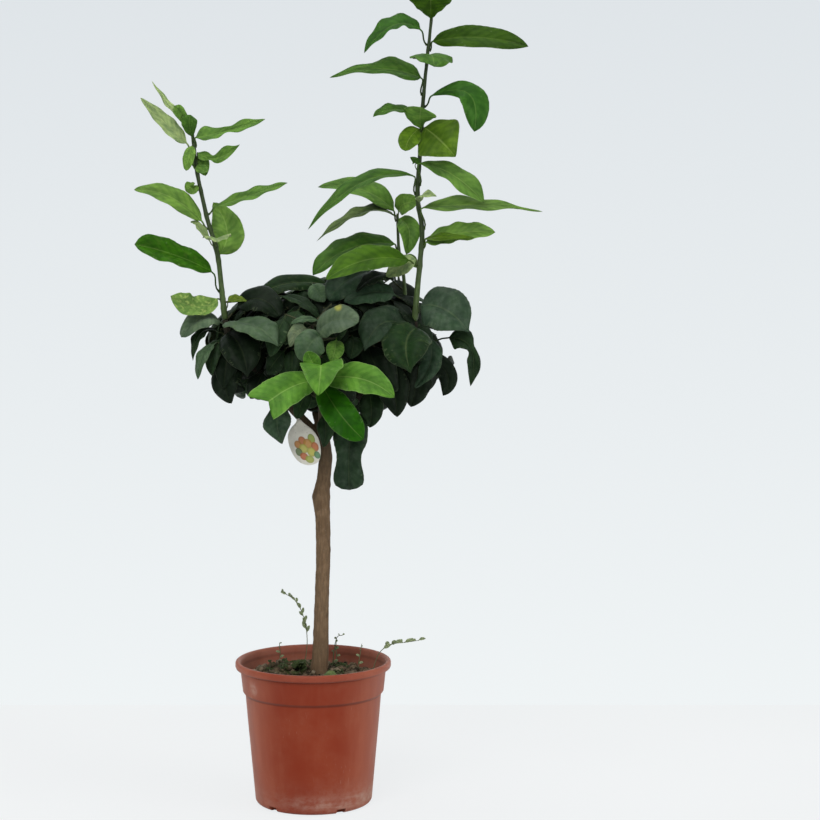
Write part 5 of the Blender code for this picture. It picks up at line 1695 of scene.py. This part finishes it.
class BERGAMOT_OT_shoots(bpy.types.Operator):
    """Make the green shoots, swollen a little where leaves join"""
    bl_idname = "bergamot.shoots"
    bl_label = "Make the shoots"

    def execute(self, context):
        material = shoot_skin(context.scene.bergamot_stem)
        rows = [*(row for group in LEAVES.values() for row in group), *SHOOT_EXTRAS]
        for name, line in SHOOT_LINES.items():
            joints = [row[1] for row in rows if row[0] == name]
            bm = bmesh.new()
            smooth = smooth_path(line, 14)
            path = []
            for centre, radius in smooth:
                swell = sum(math.exp(-((centre.z - at) / 0.0035) ** 2) for at in joints)
                drift = jitter(centre * 60) * 0.0004
                path.append((centre + Vector((drift.x, drift.y, 0)),
                             radius * (1 + 0.16 * min(swell, 1.2))))
            path[0], path[-1] = smooth[0], smooth[-1]
            add_tube(bm, path, 14)
            add_piece(name + "_stem", bm, material, "green_stem", name)
        return {"FINISHED"}


class BERGAMOT_OT_leaves(bpy.types.Operator):
    """Make every leaf: the named ones, the side leaves and the dense crown"""
    bl_idname = "bergamot.leaves"
    bl_label = "Make the leaves"

    def execute(self, context):
        settings = context.scene.bergamot_leaf
        material = citrus_leaf()
        shape = settings.wave, settings.quilt
        hulls = []
        for head, rows in LEAVES.items():
            for number, row in enumerate(rows, 1):
                leaf = stem_leaf(f"{head}_{number}", *row)
                hulls.append(leaf_hull(leaf))
                bm, layers = leaf_mesh()
                add_leaf(bm, leaf, layers, *shape)
                add_piece(leaf.name + "_blade", bm, material, TONES[leaf.tone][-1], leaf.name)

        bm, layers = leaf_mesh()
        for number, row in enumerate(SHOOT_EXTRAS):
            leaf = ease_apart(stem_leaf(f"side_{number}", *row), hulls)
            add_leaf(bm, leaf, layers, *shape, 24)
        add_piece("shoot_side_leaves", bm, material, "leaf_fresh")

        bm, layers = leaf_mesh()
        spurs = bmesh.new()
        for number, (foot, middle, tip, *rest) in enumerate(CROWN_EXTRAS):
            foot, middle, tip = Vector(foot), Vector(middle), Vector(tip)
            outward = (middle - foot).normalized()
            leaf = Leaf(f"crown_{number}", foot, outward, middle, tip, *rest)
            add_leaf(bm, ease_apart(leaf, hulls), layers, *shape, 30)
            start = near_stem(foot, STEMS, 0.004)
            bend = start.lerp(foot, 0.55) - outward * 0.003 + Vector((0, 0, -0.002))
            path = smooth_path(((*start, 0.0017), (*bend, 0.0014), (*foot, 0.0011)), 5)
            add_tube(spurs, path, 8)
        add_piece("crown_front_leaves", bm, material, "leaf_dark")

        shown = list(hulls)
        leaves, twigs = crown_fill(settings, hulls)
        near, near_spurs = crown_front(settings, hulls, shown, twigs)
        leaves += near
        twigs += near_spurs
        for path in twigs:
            add_tube(spurs, path, 8)
        add_piece("crown_twigs", spurs, twig_skin(), "bark")
        for name, left, right in (("crown_left_leaves", -1, -0.03),
                                  ("crown_middle_leaves", -0.03, 0.08),
                                  ("crown_right_leaves", 0.08, 1)):
            bm, layers = leaf_mesh()
            for leaf in leaves:
                if left <= leaf.base.x < right:
                    add_leaf(bm, leaf, layers, *shape, 16, ACROSS_COARSE)
            add_piece(name, bm, material, "leaf_dark")
        return {"FINISHED"}


class BERGAMOT_OT_label(bpy.types.Operator):
    """Make the hanging label with its strap and print"""
    bl_idname = "bergamot.label"
    bl_label = "Make the label"

    def execute(self, context):
        stations = label_stations()
        foot_z = stations[0][0].z
        across = Vector((1, 0, 0))
        frames = []
        for index, (centre, width) in enumerate(stations):
            before = stations[max(index - 1, 0)][0]
            after = stations[min(index + 1, len(stations) - 1)][0]
            along = after - before
            along.x = 0.0
            frames.append((centre, width, across.cross(along.normalized())))
        shares = (-1.0, -0.97, -0.5, 0.0, 0.5, 0.97, 1.0)
        columns = len(shares)

        def spot(i):
            """Share across the strip and which face, for a step round its section."""
            if i < columns:
                return shares[i], -1.0
            return shares[2 * columns - 1 - i], 1.0

        def place(i, j):
            centre, width, normal = frames[j]
            v, face = spot(i)
            depth = LABEL_THICKNESS / 2 * (1.0 if abs(v) < 0.98 else 0.5)
            return centre + across * (v * width / 2) + normal * depth * face

        bm = bmesh.new()
        placed = bm.verts.layers.float_vector.new("label_place")
        for vert, i, j in roll_sheet(bm, 2 * columns, len(frames) - 1, place):
            v, face = spot(i)
            vert[placed] = Vector((3.0, 1.5, face))     # the strap is past the print
            if j < len(LABEL_WIDTHS):
                share = (vert.co.z - foot_z) / LABEL_LENGTH
                vert[placed] = Vector((v * frames[j][1] / LABEL_WIDTH, share, face))
        add_piece("hanging_label", bm, label_print(context.scene.bergamot_label),
                  "label_plastic", "plant_label")
        return {"FINISHED"}


class BERGAMOT_OT_weeds(bpy.types.Operator):
    """Make the small weeds that came up in the pot"""
    bl_idname = "bergamot.weeds"
    bl_label = "Make the weeds"

    def execute(self, context):
        material = bpy.data.materials["citrus_leaf"]
        lumps = context.scene.bergamot_soil.lump_height
        for name, *rest in WEEDS:
            bm, layers = leaf_mesh()
            self.add_weed(bm, layers, lumps, name, *rest)
            add_piece(name + "_plant", bm, material, "weed", name)
        bm, layers = leaf_mesh()
        rng = random.Random(19)
        for number in range(SPROUTS):
            turn = rng.uniform(0, math.tau)
            radius = rng.uniform(0.015, 0.070)
            x = radius * math.cos(turn)
            y = radius * math.sin(turn) * 0.85 + 0.004
            if math.hypot(x - TRUNK_X, y) < 0.017:
                continue
            tall = rng.uniform(0.002, 0.006)
            lean = Vector((rng.uniform(-0.004, 0.004), rng.uniform(-0.004, 0.004), tall))
            foot = Vector((x, y, soil_height(x, y, lumps)))
            self.add_weed(bm, layers, lumps, f"sprout_{number}",
                          (foot, foot + lean * 0.6, foot + lean), rng.randint(3, 6),
                          rng.uniform(0.003, 0.006), rng.uniform(0.002, 0.004))
        foot = Vector((*SPRIG_FOOT, soil_height(*SPRIG_FOOT, lumps) - 0.001))
        leaf = Leaf("front_sprout", foot, Vector((0.3, -0.3, 0.9)).normalized(),
                    Vector((0.021, -0.062, 0.189)), Vector((0.035, -0.068, 0.188)),
                    0.017, (0, -0.6, 0.8), 10, "sprig", "round")
        add_leaf(bm, leaf, layers, 0.0004, 0.0002, 16)
        for row in SPROUT_STEMS:
            self.add_weed(bm, layers, lumps, *row, *SPROUT_LEAF)
        add_piece("soil_sprouts", bm, material, "weed")
        return {"FINISHED"}

    def add_weed(self, bm, layers, lumps, name, points, count, length, width):
        """A thin stem with leaves set round it by the golden angle."""
        rng = random.Random(name)
        foot = Vector(points[0])
        foot.z = soil_height(foot.x, foot.y, lumps) - 0.001
        path = smooth_path([(*point, 0.0006 * (1 - 0.45 * index / len(points)))
                            for index, point in enumerate((foot, *points[1:]))], 8)
        placed, coloured, stated = layers
        for vert, _, _ in add_tube(bm, path, 6):
            vert[placed] = Vector((0.5, 0.5, 0.0))
            vert[coloured] = Vector((0.200, 0.220, 0.120, 0.0))
            vert[stated] = Vector((0.0, 0.2, 0.0))
        for index in range(count):
            place = 0.35 + 0.62 * index / max(count - 1, 1)
            step = int(place * (len(path) - 1))
            centre = path[step][0]
            turn = index * GOLDEN_ANGLE + rng.uniform(-0.5, 0.5)
            outward = Vector((math.cos(turn), math.sin(turn), rng.uniform(0.1, 0.6)))
            if name in ("tall_weed", "rim_weed"):
                way = path[min(step + 1, len(path) - 1)][0] - centre
                outward = outward * 0.55 + way.normalized() * 0.85
            size = rng.uniform(0.8, 1.1) * (1.3 - 0.55 * index / count)
            tip = centre + outward * length * size
            middle = centre.lerp(tip, 0.5) + Vector((0, 0, length * 0.12))
            tone = "moss_green" if name == "weed_tuft" or name.startswith("sprout") else "sprout"
            leaf = Leaf(f"{name}_{index}", centre, outward.normalized(), middle, tip,
                        width * size, (rng.uniform(-0.5, 0.5), -0.9, 0.6), 14, tone)
            add_leaf(bm, leaf, layers, 0.0003, 0.0001, 9, ACROSS_COARSE)


class BERGAMOT_OT_stage(bpy.types.Operator):
    """Make the floor, the lights, the backdrop's colour and the camera"""
    bl_idname = "bergamot.stage"
    bl_label = "Make the stage"

    def execute(self, context):
        settings = context.scene.bergamot_stage
        half_width, half_depth = FLOOR_HALF_SIZE
        bm = bmesh.new()
        bmesh.ops.create_grid(bm, x_segments=8, y_segments=8, size=1.0)
        bmesh.ops.scale(bm, vec=(half_width, half_depth, 1.0), verts=bm.verts)
        bmesh.ops.translate(bm, vec=(0.0, FLOOR_BACK_Y - half_depth, -FLOOR_DROP),
                            verts=bm.verts)
        floor = show("studio_floor", new_mesh("studio_floor", bm))
        floor.data.materials.append(stage_floor(settings))

        for name, at, target, size, power in SOFTBOXES:
            lamp = bpy.data.lights.new(name, "AREA")
            lamp.size = size
            lamp.energy = power
            lamp.color = LIGHT_COLOUR
            box = show(name, lamp)
            box.location = at
            aim = Vector(target) - Vector(at)
            box.rotation_euler = aim.to_track_quat("-Z", "Y").to_euler()
        self.backdrop(context.scene, settings)

        camera = show("camera", bpy.data.cameras.new("camera"))
        camera.location = VIEWER
        camera.rotation_euler = (math.radians(90 - VIEW_TILT), 0.0, 0.0)
        camera.data.lens = settings.lens
        camera.data.sensor_width = VIEW_SENSOR
        camera.data.clip_end = 50.0
        context.scene.camera = camera
        context.scene.view_settings.view_transform = "Standard"
        return {"FINISHED"}

    def backdrop(self, scene, settings):
        """Even light from all round, and the pale backdrop that the camera sees."""
        scene.world = bpy.data.worlds.new("studio")
        scene.world.use_nodes = True
        f = Nodes(scene.world.node_tree)
        light = f.tree.nodes["Background"]
        f.feed(light.inputs["Color"], SKY_COLOUR)
        f.feed(light.inputs["Strength"], SKY_STRENGTH)
        depth, rise = f.split(f.place("Generated"))[1:]
        ramp = f.node("ValToRGB", {})
        ramp.color_ramp.elements[0].color = (*settings.wall_low, 1.0)
        ramp.color_ramp.elements[1].color = (*settings.wall_high, 1.0)
        f.feed(ramp.inputs[0], f.add("MapRange", {"From Min": WALL_LOW, "From Max": WALL_HIGH,
                                                  "Value": rise}))
        shown = f.add("Background", {"Color": Signal(f, ramp.outputs[0])})
        rays = f.node("LightPath", {}).outputs
        behind = f.span(depth, 0.1, 0.7)
        mirrored = f.math("MULTIPLY", Signal(f, rays["Is Glossy Ray"]), behind)
        seen = f.math("MAXIMUM", Signal(f, rays["Is Camera Ray"]), mirrored)
        seen = f.math("MAXIMUM", seen, Signal(f, rays["Is Transmission Ray"]))
        blend = f.add("MixShader", {0: seen, 1: Signal(f, light.outputs[0]), 2: shown})
        f.feed(f.tree.nodes["World Output"].inputs["Surface"], blend)


OPERATORS = (BERGAMOT_OT_pot, BERGAMOT_OT_soil, BERGAMOT_OT_trunk, BERGAMOT_OT_shoots,
             BERGAMOT_OT_leaves, BERGAMOT_OT_label, BERGAMOT_OT_weeds, BERGAMOT_OT_stage)


class BERGAMOT_PT_panel(bpy.types.Panel):
    """The tree's pieces, each with its button and settings"""
    bl_idname = "BERGAMOT_PT_panel"
    bl_label = "Potted bergamot"
    bl_space_type = "VIEW_3D"
    bl_region_type = "UI"
    bl_category = "Bergamot"

    def draw(self, context):
        for operator in OPERATORS:
            self.layout.operator(operator.bl_idname)
        for name, group in SETTINGS.items():
            box = self.layout.box()
            for field in group.__annotations__:
                box.prop(getattr(context.scene, name), field)


CLASSES = (*SETTINGS.values(), *OPERATORS, BERGAMOT_PT_panel)


def register():
    for cls in CLASSES:
        bpy.utils.register_class(cls)
    for name, group in SETTINGS.items():
        setattr(bpy.types.Scene, name, PointerProperty(type=group))


def unregister():
    for name in SETTINGS:
        delattr(bpy.types.Scene, name)
    for cls in reversed(CLASSES):
        bpy.utils.unregister_class(cls)


def main():
    register()
    bpy.ops.bergamot.pot()
    bpy.ops.bergamot.soil()
    bpy.ops.bergamot.trunk()
    bpy.ops.bergamot.shoots()
    bpy.ops.bergamot.leaves()
    bpy.ops.bergamot.label()
    bpy.ops.bergamot.weeds()
    bpy.ops.bergamot.stage()


if __name__ == "__main__":
    main()
